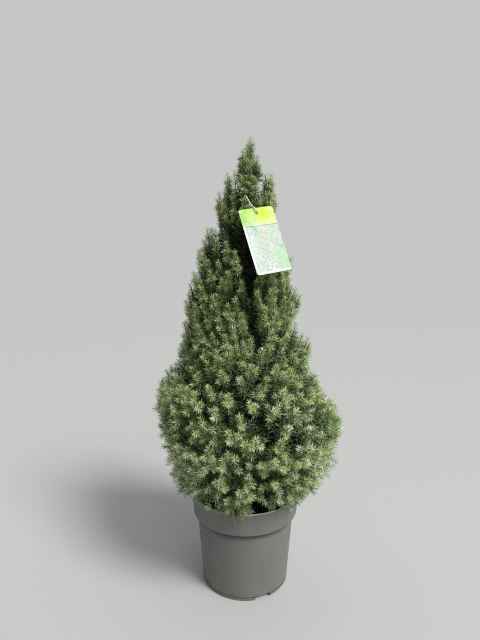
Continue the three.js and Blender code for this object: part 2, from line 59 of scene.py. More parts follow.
def setCamera():
    camera = addObject("viewCamera", bpy.data.cameras.new("viewCamera"))
    camera.data.lens = viewSettings["lens"]
    camera.data.sensor_width = viewSettings["film"]
    camera.location = Vector(viewSettings["place"]) * mm
    camera.rotation_euler = (math.radians(90 - viewSettings["pitch"]), 0, 0)
    bpy.context.scene.camera = camera


setCamera()


def clamp(x, low, high):
    return max(low, min(high, x))


def lerp(a, b, t):
    return a + (b - a) * t


def along(table, x, column=1):  # a value from rows of (x, ...), with straight lines between them
    if x <= table[0][0]:
        return table[0][column]
    for low, high in zip(table, table[1:]):
        if high[0] >= x:
            return lerp(low[column], high[column], (x - low[0]) / (high[0] - low[0]))
    return table[-1][column]


def jitter(i, k):  # a repeatable number from -0.5 to 0.5 for item i; each k is another sequence
    x = (i + 1) * goldenRatio * (1 + 0.37 * k) + 0.713 * k
    return x - math.floor(x) - 0.5


def polar(radius, azimuth, z):
    return Vector((radius * math.cos(azimuth), radius * math.sin(azimuth), z))


def circle(count):  # even angles all the way round
    return [2 * math.pi * s / count for s in range(count)]


def across(direction):  # two unit vectors square to a direction
    helper = Vector((1, 0, 0)) if abs(direction.z) > 0.8 else Vector((0, 0, 1))
    u = helper.cross(direction).normalized()
    return u, direction.cross(u)


def around(u, v, angle):  # from u towards v
    return u * math.cos(angle) + v * math.sin(angle)


def bendPoint(a, b, c, t):  # a quadratic curve
    return a * (1 - t) ** 2 + b * (2 * t * (1 - t)) + c * t * t


def bendPath(curve, steps):
    return [bendPoint(*curve, n / steps) for n in range(steps + 1)]


def pathLength(path):
    return sum((b - a).length for a, b in zip(path, path[1:]))


def bendTangent(a, b, c, t):
    return ((b - a) * (1 - t) + (c - b) * t).normalized()


def newPiece(name, points, faces, smooth=True):  # points in millimetres
    mesh = bpy.data.meshes.new(name)
    mesh.from_pydata([Vector(p) * mm for p in points], [], faces)
    mesh.validate()
    if smooth:
        mesh.shade_smooth()
    return addObject(name, mesh)


def finishPiece(piece, material=None, replaced=()):
    if material:
        piece.data.materials.clear()
        piece.data.materials.append(material)
    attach(piece, "root")
    if replaced:
        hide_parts(*replaced)


def applyModifiers(piece):
    depsgraph = bpy.context.evaluated_depsgraph_get()
    mesh = bpy.data.meshes.new_from_object(piece.evaluated_get(depsgraph))
    mesh.name = piece.name
    piece.modifiers.clear()
    piece.data = mesh


def turnedPiece(name, profile, sides):  # (radius, height) pairs turned about Z, from the axis back to it
    points, faces, rows = [], [], []
    for radius, z in profile:
        first = len(points)
        if radius < 1e-6:
            points.append((0, 0, z))
        else:
            points += [polar(radius, a, z) for a in circle(sides)]
        rows.append(range(first, len(points)))
    for low, high in zip(rows, rows[1:]):
        for s in range(sides):
            t = (s + 1) % sides
            corners = (low[s % len(low)], low[t % len(low)], high[t % len(high)], high[s % len(high)])
            faces.append(tuple(dict.fromkeys(corners)))
    return newPiece(name, points, faces)


def fixNormals(piece):
    body = bmesh.new()
    body.from_mesh(piece.data)
    bmesh.ops.remove_doubles(body, verts=body.verts, dist=1e-6)
    bmesh.ops.recalc_face_normals(body, faces=body.faces)
    body.to_mesh(piece.data)
    body.free()


def tubeRings(points, radii, sides, rough=0.0, seed=0):  # rings of a limb, with its bark's relief
    rings = []
    for n, (p, r) in enumerate(zip(points, radii)):
        ahead = points[min(n + 1, len(points) - 1)] - points[max(n - 1, 0)]
        u, v = across(ahead.normalized())
        ring = []
        for a in circle(sides):
            out = around(u, v, a)
            relief = noise.fractal(Vector((out.x * 2.2, out.y * 2.2, p.z * 0.11 + seed)) * 1.7, 1, 2, 4)
            ring.append(p + out * (r + rough * relief))
        rings.append(ring)
    return rings


def skinnedPiece(name, bodies, closed=False, smooth=True):  # one closed body over each list of rings
    points, faces = [], []
    for rings in bodies:
        first, count, sides = len(points), len(rings), len(rings[0])
        last = first + (count - 1) * sides
        points += [p for ring in rings for p in ring]
        for r in range(count if closed else count - 1):
            low, high = first + r * sides, first + (r + 1) % count * sides
            for s in range(sides):
                t = (s + 1) % sides
                faces.append((low + s, low + t, high + t, high + s))
        if not closed:
            faces.append(tuple(range(first + sides - 1, first - 1, -1)))
            faces.append(tuple(range(last, last + sides)))
    piece = newPiece(name, points, faces, smooth)
    fixNormals(piece)
    return piece


def feed(tree, value, socket):  # a value, or the output that drives the socket
    if isinstance(value, bpy.types.NodeSocket):
        tree.links.new(value, socket)
    elif socket.type == "RGBA":
        socket.default_value = (*value, 1)
    else:
        socket.default_value = value


def addNode(tree, kind, inputs=None, **settings):
    node = tree.nodes.new(kind)
    for key, value in settings.items():
        setattr(node, key, value)
    for key, value in (inputs or {}).items():
        feed(tree, value, node.inputs[key])
    return node


def maths(tree, kind, *values):
    return addNode(tree, "ShaderNodeMath", dict(enumerate(values)), operation=kind).outputs[0]


def times(tree, a, b):
    return maths(tree, "MULTIPLY", a, b)


def ranged(tree, value, low, high, toLow=0, toHigh=1):  # low..high becomes toLow..toHigh, held at its ends
    inputs = {"Value": value, "From Min": low, "From Max": high, "To Min": toLow, "To Max": toHigh}
    return addNode(tree, "ShaderNodeMapRange", inputs).outputs["Result"]


def newGroup(name, kind, inputs, outputs):  # inputs as label: (type, value)
    tree = bpy.data.node_groups.new(name, kind)
    for label, (socketKind, value) in inputs.items():
        socket = tree.interface.new_socket(label, in_out="INPUT", socket_type="NodeSocket" + socketKind)
        if value is not None:
            socket.default_value = value
    for label, socketKind in outputs.items():
        tree.interface.new_socket(label, in_out="OUTPUT", socket_type="NodeSocket" + socketKind)
    return tree, tree.nodes.new("NodeGroupInput").outputs, tree.nodes.new("NodeGroupOutput").inputs


def makeGrainGroup():  # fine grain: a height for the bump and a mask of its high spots
    inputs = {"Scale": ("Float", 800), "Detail": ("Float", 4), "Stretch": ("Vector", (1, 1, 1))}
    outputs = {"Height": "Float", "Mask": "Float"}
    tree, given, result = newGroup("fineGrain", "ShaderNodeTree", inputs, outputs)
    place = tree.nodes.new("ShaderNodeTexCoord").outputs["Object"]
    stretched = addNode(tree, "ShaderNodeVectorMath", {0: place, 1: given["Stretch"]}, operation="MULTIPLY")
    grain = addNode(tree, "ShaderNodeTexNoise", {
        "Vector": stretched.outputs[0],
        "Scale": given["Scale"],
        "Detail": given["Detail"],
        "Roughness": 0.6,
    }).outputs["Fac"]
    feed(tree, grain, result["Height"])
    feed(tree, ranged(tree, grain, 0.42, 0.62), result["Mask"])
    return tree


fineGrain = makeGrainGroup()


def addGrain(tree, scale, detail, stretch=(1, 1, 1)):
    inputs = {"Scale": scale, "Detail": detail, "Stretch": stretch}
    return addNode(tree, "ShaderNodeGroup", inputs, node_tree=fineGrain).outputs


def mixColours(tree, mask, low, high):
    inputs = {"Factor": mask, "A": low, "B": high}
    return addNode(tree, "ShaderNodeMix", inputs, data_type="RGBA").outputs["Result"]


def newMaterial(name, colour, roughness, specular=0.5):
    material = bpy.data.materials.new(name)
    material.use_nodes = True
    material.diffuse_color = (*colour, 1)
    shader = material.node_tree.nodes["Principled BSDF"]
    shader.inputs["Base Color"].default_value = (*colour, 1)
    shader.inputs["Roughness"].default_value = roughness
    shader.inputs["Specular IOR Level"].default_value = specular
    return material, material.node_tree, shader


def bumpFrom(tree, shader, height, strength, distance):
    bump = addNode(tree, "ShaderNodeBump", {"Strength": strength, "Distance": distance, "Height": height})
    tree.links.new(bump.outputs["Normal"], shader.inputs["Normal"])


def roughnessFrom(tree, shader, mask, low, high):
    tree.links.new(ranged(tree, mask, 0, 1, low, high), shader.inputs["Roughness"])


def grainyMaterial(name, base, low, high, finish, grain, bump=None, rough=None):  # mottled from low to high
    material, tree, shader = newMaterial(name, base, *finish)
    spots = addGrain(tree, *grain)
    tree.links.new(mixColours(tree, spots["Mask"], low, high), shader.inputs["Base Color"])
    if bump:
        bumpFrom(tree, shader, spots["Height"], *bump)
    if rough:
        roughnessFrom(tree, shader, spots["Mask"], *rough)
    return material


def scaled(values, share):
    return tuple(share * v for v in values)


potSizes = {  # millimetres
    "height": 168,
    "rimRadius": 95,
    "lipHeight": 4,
    "lipProud": 1.2,
    "bandBottom": 128,
    "bandBottomRadius": 91.5,
    "bodyTopRadius": 85,
    "footRadius": 75.5,
    "wall": 2,
    "floorThickness": 2.5,
    "channelHeight": 7,
    "channelInner": 48,
    "channelOuter": 68.5,
    "notches": 3,
    "notchAzimuth": -67,
    "notchWidth": 27,
    "notchHeight": 7,
    "notchReach": 9,  # how far a notch is cut to either side of the foot's edge
    "holes": 6,
    "holeRadius": 5,
    "holeCircle": 58,
    "holeFrom": 3,
    "holeTo": 14,
    "sides": 144,
    "plastic": (0.171, 0.175, 0.162),
    "dust": (0.235, 0.222, 0.190),
    "dustTop": 50,
    "creaseShade": (114, 126.5, 127.2),  # painted shade in the crease under the band: from, full, and the band's edge
    # painted highlight along the lip's top edge: from, full
    "lipHighlight": (166.4, 167.8),
    "grooveShade": (5.4, 0.8),  # painted shade line over the foot ring: the middle of the groove there, and half its height
}


def roundedProfile(corners):  # corners are (radius, height, rounding); each rounded one gives an arc
    profile = []
    for n, (r, z, rounding) in enumerate(corners):
        here = Vector((r, z))
        if rounding == 0 or n in (0, len(corners) - 1):
            profile.append((r, z))
            continue
        before = Vector(corners[n - 1][:2]) - here
        after = Vector(corners[n + 1][:2]) - here
        reach = min(rounding, 0.45 * before.length, 0.45 * after.length)
        start = here + before.normalized() * reach
        end = here + after.normalized() * reach
        profile += [tuple(p) for p in bendPath((start, here, end), 4)]
    return profile


def potProfile():
    p = potSizes
    foot, channel, floor, wall = p["footRadius"], p["channelHeight"], p["floorThickness"], p["wall"]
    near, far = p["channelInner"], p["channelOuter"]
    band, bandRadius, bodyRadius = p["bandBottom"], p["bandBottomRadius"], p["bodyTopRadius"]
    top, rim, proud = p["height"], p["rimRadius"], p["lipProud"]
    lip = top - p["lipHeight"]
    bodyAt = lambda z: lerp(foot, bodyRadius, z / band)
    bandAt = lambda z: along([(band, bandRadius), (band + 12, bandRadius + 0.9), (lip, rim - proud)], z)
    outer = [
        (0, 0, 0),
        (near - 2, 0, 1.2),
        (near, channel, 1.2),
        (far, channel, 1.2),
        (foot - 4.5, 0, 0.5),
        (foot - 0.6, 0, 0.6),
        (foot + 0.7, 1.6, 0.8),
        (foot + 0.7, 4.0, 0.5),
        (bodyAt(5.2) - 0.3, 5.2, 0.4),
        (bodyAt(9), 9, 0),
        (bodyAt(44), 44, 0),
        (bodyAt(88), 88, 0),
        (bodyAt(band - 6), band - 6, 0),
        (bodyAt(band) - 0.8, band, 1.0),
        (bandRadius, band - 0.4, 2.4),
        (bandAt(band + 12), band + 12, 0),
        (bandAt(top - 16), top - 16, 0),
        (rim - proud, lip, 0.5),
        (rim, lip + 0.6, 0.7),
        (rim, top, 1.6),
        (rim - proud - wall, top, 1.2),
    ]
    inner = [
        (bandRadius - wall, band + wall + 1.5, 1.5),
        (bodyRadius - wall, band + wall - 1, 1.5),
        (bodyAt(channel) - wall, channel + floor, 2),
        (near - floor, channel + floor, 1),
        (near - 2 - floor, floor, 1),
        (0, floor, 0),
    ]
    return roundedProfile(outer + inner)


def cutAway(piece, cutters):
    for cutter in cutters:
        cut = piece.modifiers.new("cut", "BOOLEAN")
        cut.operation = "DIFFERENCE"
        cut.object = cutter
        cut.solver = "EXACT"
    applyModifiers(piece)
    for cutter in cutters:
        bpy.data.objects.remove(cutter)


def makePot():
    p = potSizes
    pot = turnedPiece("nurseryPot", potProfile(), p["sides"])
    half, top = p["notchWidth"] / 2, p["notchHeight"]
    notch = [(-half - 1, -5), (half + 1, -5), (half - 0.6, top - 1)]
    notch += [(half - 1.6, top), (-half + 1.6, top), (-half + 0.6, top - 1)]
    cutters = []
    for n in range(p["notches"]):
        azimuth = math.radians(p["notchAzimuth"] + 360 / p["notches"] * n)
        rings = []
        for radius in (p["footRadius"] - p["notchReach"], p["footRadius"] + p["notchReach"]):
            rings.append([polar(radius, azimuth, z) + polar(x, azimuth + math.pi / 2, 0) for x, z in notch])
        cutters.append(skinnedPiece("notchCutter", [rings], smooth=False))
    for turn in circle(p["holes"]):
        centre = polar(p["holeCircle"], turn + math.radians(p["notchAzimuth"]), 0)
        ring = [centre + polar(p["holeRadius"], a, 0) for a in circle(24)]
        rings = [[v + Vector((0, 0, z)) for v in ring] for z in (p["holeFrom"], p["holeTo"])]
        cutters.append(skinnedPiece("holeCutter", [rings], smooth=False))
    fixNormals(pot)
    cutAway(pot, cutters)
    pot.data.shade_smooth()
    pot.data.set_sharp_from_angle(angle=math.radians(38))
    finishPiece(pot, potPlastic(), ["pot"])


def potPlastic():  # matt moulded plastic with faint flow marks and dust near the foot, with painted shade under the band and over the foot ring and a painted highlight on the lip
    p = potSizes
    base = p["plastic"]
    material, tree, shader = newMaterial("greyPotPlastic", base, 0.5, 0.42)
    flow = addGrain(tree, 26, 5, (1, 1, 0.16))["Mask"]
    smudge = addGrain(tree, 34, 8)["Mask"]
    place = tree.nodes.new("ShaderNodeTexCoord").outputs["Object"]
    height = addNode(tree, "ShaderNodeSeparateXYZ", {0: place}).outputs["Z"]
    dusty = times(tree, ranged(tree, height, p["dustTop"] * mm, 0, 0, 0.55), smudge)
    # painted shade: the body just under the band's edge is darkened
    low, full, edge = p["creaseShade"]
    underBand = maths(tree, "LESS_THAN", height, edge * mm)
    creaseShade = times(tree, ranged(tree, height, low * mm, full * mm), underBand)
    # painted highlight: the lip's top edge is made much paler
    lipHighlight = ranged(tree, height, *scaled(p["lipHighlight"], mm))
    # painted shade: a thin dark line in the groove over the foot ring
    grooveShade = maths(tree, "COMPARE", height, *scaled(p["grooveShade"], mm))
    colour = mixColours(tree, flow, scaled(base, 0.96), scaled(base, 1.05))
    colour = mixColours(tree, dusty, colour, p["dust"])
    # painted shade under the band and over the foot ring, and a painted highlight on the lip
    for mask, share in ((creaseShade, 0.25), (lipHighlight, 3.4), (grooveShade, 0.3)):
        colour = mixColours(tree, mask, colour, scaled(base, share))
    tree.links.new(colour, shader.inputs["Base Color"])
    roughnessFrom(tree, shader, smudge, 0.42, 0.6)
    bumpFrom(tree, shader, addGrain(tree, 420, 2)["Height"], 0.25, 0.0002)
    return material


makePot()
print("pot done")


compostSizes = {
    "top": 150,
    "mound": 3,
    "edge": 91.6,
    "lower": 134,
    "relief": 3.2,
    "rings": 34,
    "sides": 96,
    "soil": (0.018, 0.012, 0.008),
    "soilPale": (0.032, 0.024, 0.016),
    "crumbs": [  # name, count, smallest and largest, squash, colour, seed
        ("barkChips", 900, (1.4, 5.2), (1, 0.55, 0.3), (0.038, 0.026, 0.018), 10),
        ("paleGrains", 18, (0.9, 2.2), (1, 0.9, 0.8), (0.30, 0.28, 0.24), 12),
    ],
}


def compostHeight(x, y):
    c = compostSizes
    radius = math.hypot(x, y)
    mound = c["mound"] * clamp(1 - (radius - 30) / 55, 0, 1)
    relief = noise.fractal(Vector((x, y, 0)) * 0.055, 0.9, 2, 5)
    return c["top"] + mound + c["relief"] * relief * clamp((c["edge"] - radius) / 6, 0.15, 1)


def makeCompost():
    c = compostSizes
    profile = [(0, c["lower"]), (c["edge"] - 3.2, c["lower"])]
    profile += [(c["edge"] * (1 - n / c["rings"]), c["top"]) for n in range(c["rings"])] + [(0, c["top"])]
    bed = turnedPiece("compostBed", profile, c["sides"])
    for v in bed.data.vertices:
        if v.co.z > (c["top"] - 1) * mm:
            v.co.z = compostHeight(v.co.x / mm, v.co.y / mm) * mm
    fixNormals(bed)
    dark, pale = c["soil"], c["soilPale"]
    soil = grainyMaterial("moistCompost", dark, dark, pale, (0.9, 0.25), (190, 8), (0.9, 0.003))
    finishPiece(bed, soil, ["compost"])
    for row in c["crumbs"]:
        scatterOnCompost(*row)


def scatterOnCompost(name, count, sizes, squash, colour, seed):  # crumbs of a few faces, sunk a little
    points, faces = [], []
    draw = np.random.default_rng(seed)
    for n in range(count):
        radius = (compostSizes["edge"] - 5) * math.sqrt((n + 0.5) / count)
        x, y = polar(radius, n * goldenAngle + 0.4 * draw.random(), 0).xy
        size = lerp(*sizes, draw.random() ** 2)
        turn = Matrix.Rotation(6.3 * draw.random(), 3, "Z") @ Matrix.Rotation(draw.normal(0, 0.35), 3, "X")
        centre = Vector((x, y, compostHeight(x, y) + 0.25 * size * squash[2]))
        first = len(points)
        corners = [(-1, -0.7, -0.8), (1, -0.8, -0.9), (0.8, 0.9, -0.8), (-0.9, 0.8, -1),
                   (-0.7, -0.6, 0.9), (0.9, -0.5, 0.7), (0.6, 0.8, 1), (-0.8, 0.5, 0.8)]
        for corner in corners:
            bent = Vector(a * s * (0.8 + 0.4 * draw.random()) for a, s in zip(corner, squash))
            points.append(centre + turn @ bent * size * 0.5)
        quads = [(0, 3, 2, 1), (4, 5, 6, 7), (0, 1, 5, 4), (1, 2, 6, 5), (2, 3, 7, 6), (3, 0, 4, 7)]
        faces += [tuple(first + i for i in quad) for quad in quads]
    crumbs = newPiece(name, points, faces, smooth=False)
    darker = scaled(colour, 0.45)
    finish = grainyMaterial(name + "Finish", colour, darker, colour, (0.85, 0.3), (130, 4), (0.5, 0.001))
    finishPiece(crumbs, finish)


makeCompost()
print("compost done")


# the trunk, and one upswept stem for each mass of foliage
trunkSizes = {
    "foot": 153.35,
    "tip": 682,
    "footRadius": 9,
    "flareRadius": 14,
    "flareHeight": 16,
    "tipRadius": 2,
    "lean": 6,
    "sway": 4,
    "rings": 110,
    "sides": 18,
    "relief": 0.9,
    # the bark's own brown, made darker still as painted shade inside the crown
    "bark": (0.045, 0.032, 0.023),
    "barkPale": (0.11, 0.085, 0.062),
}
crownShape = {
    "bottom": 176,
    "top": 764,
    "outline": [  # height, radius, how far it sits to the right
        (166, 104, 3), (178, 117, 2), (190, 127, 2), (207, 142, 7), (233, 155, 13), (262, 153, 6),
        (285, 161, 8), (323, 161, -3), (361, 142, -8), (398, 121, -7), (434, 114, 1), (471, 98, -7),
        (506, 103, -4), (555, 84, -8), (600, 70, -6), (633, 52, 0), (666, 47, 1), (690, 40, 6),
        (706, 34, 6), (718, 19, 5), (740, 13, 5), (764, 6, 6),
    ],
    "rise": [(160, -12), (200, 6), (260, 26), (340, 38), (480, 52), (640, 66), (764, 86)],  # of the shoots
    "shrinkFrom": 300,
    "shrinkTo": 0.62,  # the size of the top's shoots against those low down
    "crowding": 22,
    "hanging": [  # azimuth, radius, height
        (-98, 117, 171), (-102, 114, 175), (-60, 116, 190), (-24, 126, 181), (197, 118, 174),
    ],
    "standing": [  # how far to the right, and height, of the tips that stand out at either side
        (-34, 703), (-47, 672), (-50, 664), (-70, 595), (-66, 588), (-90, 546), (-86, 538), (-104, 498),
        (-112, 421), (-132, 380), (-147, 360), (-154, 324),
        (45, 701), (41, 694), (51, 670), (79, 570), (95, 507), (88, 453), (111, 436), (129, 357), (152, 327),
        (168, 294), (167, 244),
    ],
}
tiers = [  # name, stems, root, tip, first azimuth, bare bough
    ("skirt", 6, 178, 190, -96, 0.3),
    ("lower", 6, 205, 272, -4, 0.3),
    ("middle", 5, 262, 354, 20, 0.26),
    ("waist", 4, 330, 428, -12, 0.22),
    ("upper", 4, 415, 528, -142, 0),
    ("shoulder", 4, 492, 598, -178, 0),
    ("crest", 4, 575, 676, -4, 0),
]
stemRule = {
    "inset": 24,
    "swing": 0.16,
    "lift": 10,
    "outward": 0.62,
    "rise": 0.22,
    "rootRadius": 4.2,
    "tipRadius": 1.2,
    "samples": 10,
    "rings": 16,
    "sides": 9,
    "relief": 0.35,
}
leaderTip = 744


def trunkAxis(z):
    t = (z - trunkSizes["foot"]) / (trunkSizes["tip"] - trunkSizes["foot"])
    x = trunkSizes["lean"] * t * t - trunkSizes["sway"] * math.sin(math.pi * t)
    return Vector((x, trunkSizes["sway"] * 0.5 * math.sin(2 * math.pi * t), z))


def trunkRadius(z):
    s = trunkSizes
    t = clamp((z - s["foot"]) / (s["tip"] - s["foot"]), 0, 1)
    flare = max(0, 1 - (z - s["foot"]) / s["flareHeight"])
    wider = (s["flareRadius"] - s["footRadius"]) * flare * flare
    return lerp(s["footRadius"], s["tipRadius"], t ** 0.85) + wider


def outlineRadius(z):
    return along(crownShape["outline"], z)


def outlineShift(z):
    return along(crownShape["outline"], z, 2)


def outlinePoint(azimuth, z, inset=0):
    return polar(max(0, outlineRadius(z) - inset), azimuth, z) + Vector((outlineShift(z), 0, 0))


def depthIn(p):  # how far under the crown's outline a point lies
    return outlineRadius(p.z) - math.hypot(p.x - outlineShift(p.z), p.y)


def shrinkUp(z):
    c = crownShape
    return lerp(1, c["shrinkTo"], clamp((z - c["shrinkFrom"]) / (c["top"] - c["shrinkFrom"]), 0, 1))


def buildStems():
    rule = stemRule
    stems = []
    for name, count, rootZ, tipZ, firstAzimuth, bare in tiers:
        for n, turn in enumerate(circle(count)):
            i = len(stems)
            azimuth = math.radians(firstAzimuth) + turn + rule["swing"] * 2 * jitter(i, 1)
            tipHeight = tipZ + rule["lift"] * 2 * jitter(i, 2)
            rootHeight = rootZ + rule["lift"] * jitter(i, 3)
            root = trunkAxis(rootHeight)
            tip = outlinePoint(azimuth, tipHeight, rule["inset"] * shrinkUp(tipHeight))
            bend = root.lerp(tip, rule["outward"])
            bend.z = lerp(rootHeight, tipHeight, rule["rise"])
            stems.append({
                "name": name + "_" + str(n + 1),
                "curve": (root, bend, tip),
                "bare": bare,  # the share of it that carries no shoots
                "thick": shrinkUp(tipHeight) ** 2,
            })
    foot = trunkAxis(trunkSizes["tip"])
    middle = Vector((foot.x, foot.y, lerp(trunkSizes["tip"], leaderTip, 0.5)))
    tip = Vector((trunkSizes["lean"] + 1, 0, leaderTip))
    stems.append({"name": "leader", "curve": (foot, middle, tip), "bare": 0, "thick": 0.45})
    for stem in stems:
        stem["points"] = np.array(bendPath(stem["curve"], rule["samples"]))
    return stems


stems = buildStems()


def nearestOn(points, p):  # distance to a run of straight lines, and where along it, from 0 to 1
    a = points[:-1]
    d = points[1:] - a
    p = np.array(p)
    s = np.clip(((p - a) * d).sum(1) / np.maximum((d * d).sum(1), 1e-9), 0, 1)
    gaps = np.linalg.norm(a + d * s[:, None] - p, axis=1)
    n = int(gaps.argmin())
    return float(gaps[n]), (n + float(s[n])) / len(d)


def makeLimbs():
    t, rule = trunkSizes, stemRule
    heights = [t["foot"] + (t["tip"] - t["foot"]) * (n / t["rings"]) ** 1.15 for n in range(t["rings"] + 1)]
    axis, radii = [trunkAxis(z) for z in heights], [trunkRadius(z) for z in heights]
    bodies = [tubeRings(axis, radii, t["sides"], t["relief"], 3)]
    reach = [lerp(0.0, 0.97, n / rule["rings"]) for n in range(rule["rings"] + 1)]
    for k, stem in enumerate(stems):
        path = [bendPoint(*stem["curve"], r) for r in reach]
        radii = [lerp(rule["rootRadius"], rule["tipRadius"], r) * stem["thick"] for r in reach]
        if stem["name"] == "leader":
            radii = [lerp(t["tipRadius"], 0.9, r) for r in reach]
        bodies.append(tubeRings(path, radii, rule["sides"], rule["relief"], k))
    limbs = skinnedPiece("trunkAndBoughs", bodies)
    dark, pale = t["bark"], t["barkPale"]
    bark = grainyMaterial("scalyBark", dark, dark, pale, (0.85, 0.3), (230, 8, (1, 1, 0.35)), (0.8, 0.0016))
    bare = ["bough_" + stem["name"] for stem in stems if stem["bare"] > 0]
    finishPiece(limbs, bark, ["trunk"] + bare)


makeLimbs()
print("limbs done")


cardSizes = {
    "width": 56,
    "length": 106,
    "thickness": 0.8,
    "corner": 4,
    "holeRadius": 2.5,
    "holeInset": 8,
    "centre": (28, -70, 600),
    "lean": 24,
    "roll": 9,
    "turn": 18,
    "columns": 28,
    "rows": 53,
    "curl": 4,  # how far the right edge bends back
    "splay": (1.2, 1.6),  # how far it stands out, at its ends and more in between
    "headShare": 0.27,  # how much of the length the yellow-green head takes
    "headYellow": (0.56, 0.72, 0.03),
    "headGreen": (0.30, 0.62, 0.10),
    "paper": (0.66, 0.68, 0.65),
    "cream": (0.68, 0.68, 0.50),
    "mint": (0.41, 0.62, 0.50),
    "spring": (0.30, 0.64, 0.27),
    "blush": (0.34, 0.35, 0.42),
    "moss": (0.16, 0.27, 0.17),
    "rule": (0.12, 0.20, 0.09),
    "back": ((0.80, 0.82, 0.78), (0.74, 0.76, 0.71), (0.84, 0.86, 0.82)),
}
tieSizes = {
    "radius": 0.9,
    "slack": 1.6,
    "height": 664,
    "steps": 150,
    "sides": 12,
    "drift": (-4, 0, 0),  # where it crosses the card's edge, from straight above the hole
    "swing": (-6, -12, 15),  # how far its left side swings out, past the trunk's own width
    "thread": (0.80, 0.79, 0.70),
}
cardTurn = (
    Matrix.Translation(cardSizes["centre"])
    @ Matrix.Rotation(math.radians(cardSizes["turn"]), 4, "Z")
    @ Matrix.Rotation(math.radians(90 - cardSizes["lean"]), 4, "X")
    @ Matrix.Rotation(math.radians(cardSizes["roll"]), 4, "Z")
)
cardInverse = cardTurn.inverted()
cardHole = cardTurn @ Vector((0, cardSizes["length"] / 2 - cardSizes["holeInset"], 0))


def clearOfCard(p):  # how far behind the card a point lies, or how far beside it
    q = cardInverse @ p
    beside = max(abs(q.x) - cardSizes["width"] / 2, abs(q.y) - cardSizes["length"] / 2) + 3
    return max(-q.z - cardSizes["thickness"], beside)


def tiePoints():
    back = trunkAxis(tieSizes["height"])
    wrap = trunkRadius(tieSizes["height"]) + tieSizes["radius"] + tieSizes["slack"]
    turn = cardTurn.to_3x3()
    out, edge = turn @ Vector((0, 0, 1)), turn @ Vector((0, 1, 0))
    through = tieSizes["radius"] + tieSizes["slack"]
    middle = back.lerp(cardHole, 0.5)
    return [
        cardHole,
        cardHole + out * (through + 1) + edge * 2.5,
        cardHole + edge * (cardSizes["holeInset"] + 3) + out * 1.5 + Vector(tieSizes["drift"]),
        middle + Vector((-wrap, 0, 0)) + Vector(tieSizes["swing"]),
        back + Vector((-wrap, -wrap * 0.4, 0)),
        back + Vector((0, wrap, 0)),
        back + Vector((wrap, -wrap * 0.4, 0)),
        middle + Vector((wrap, 0, -1)),
        cardHole + out * (-through - 2.5) + edge * 1.5,
    ]


def smoothLoop(knots, steps):  # a closed curve through the knots, by the centripetal rule
    count = len(knots)
    perSpan = steps // count
    path = []
    for n in range(count):
        near = [knots[(n + k) % count] for k in (-1, 0, 1, 2)]
        times = [0]
        for a, b in zip(near, near[1:]):
            times.append(times[-1] + (b - a).length ** 0.5)
        for step in range(perSpan):
            t = lerp(times[1], times[2], step / perSpan)
            level = near
            for spans in (((0, 1), (1, 2), (2, 3)), ((0, 2), (1, 3)), ((1, 2),)):
                mixed = []
                for a, b, (i, j) in zip(level, level[1:], spans):
                    whole = times[j] - times[i]
                    mixed.append(a * ((times[j] - t) / whole) + b * ((t - times[i]) / whole))
                level = mixed
            path.append(level[0])
    return path


tiePath = smoothLoop(tiePoints(), tieSizes["steps"])


def makeTie():
    count = len(tiePath)
    rings = []
    side = Vector((0.3, 0.2, 1)).normalized()
    start = None
    for n, p in enumerate(tiePath):
        ahead = (tiePath[(n + 1) % count] - tiePath[n - 1]).normalized()
        side = (side - ahead * side.dot(ahead)).normalized()
        start = start or side.copy()
        rings.append((p, ahead, side.copy()))
    # the frame that came round is eased back onto the first one
    ahead = rings[0][1]
    back = (side - ahead * side.dot(ahead)).normalized()
    twist = math.atan2(back.cross(start).dot(ahead), back.dot(start))
    loops = []
    angles = circle(tieSizes["sides"])
    for n, (p, ahead, side) in enumerate(rings):
        u = Matrix.Rotation(twist * n / count, 3, ahead) @ side
        v = ahead.cross(u)
        loops.append([p + around(u, v, a) * tieSizes["radius"] for a in angles])
    thread = skinnedPiece("cardTie", [loops], closed=True)
    pale = tieSizes["thread"]
    finish = grainyMaterial("offWhiteTie", pale, scaled(pale, 0.8), pale, (0.5, 0.5), (900, 3), (0.3, 0.0003))
    finishPiece(thread, finish, ["card_tie"])


def cardOutline(steps=6):  # a rectangle with round corners, from the lower left, anticlockwise
    x, y, r = cardSizes["width"] / 2, cardSizes["length"] / 2, cardSizes["corner"]
    outline = []
    corners = ((-x + r, -y + r, 180), (x - r, -y + r, 270), (x - r, y - r, 0), (-x + r, y - r, 90))
    for cx, cy, first in corners:
        for step in range(steps + 1):
            a = math.radians(first + 90 * step / steps)
            outline.append((cx + r * math.cos(a), cy + r * math.sin(a)))
    return outline


def cardPoint(x, y):  # the sheet bends back along the middle of its right edge
    share = clamp((x / cardSizes["width"] + 0.2) / 0.7, 0, 1)
    bulge = math.sin(math.pi * clamp(0.5 - y / cardSizes["length"], 0, 1) ** 1.5)
    ends, between = cardSizes["splay"]
    back = cardSizes["curl"] * share * share * bulge
    return Vector((x + share * share * (ends + between * bulge), y, cardSizes["thickness"] / 2 - 0.15 - back))


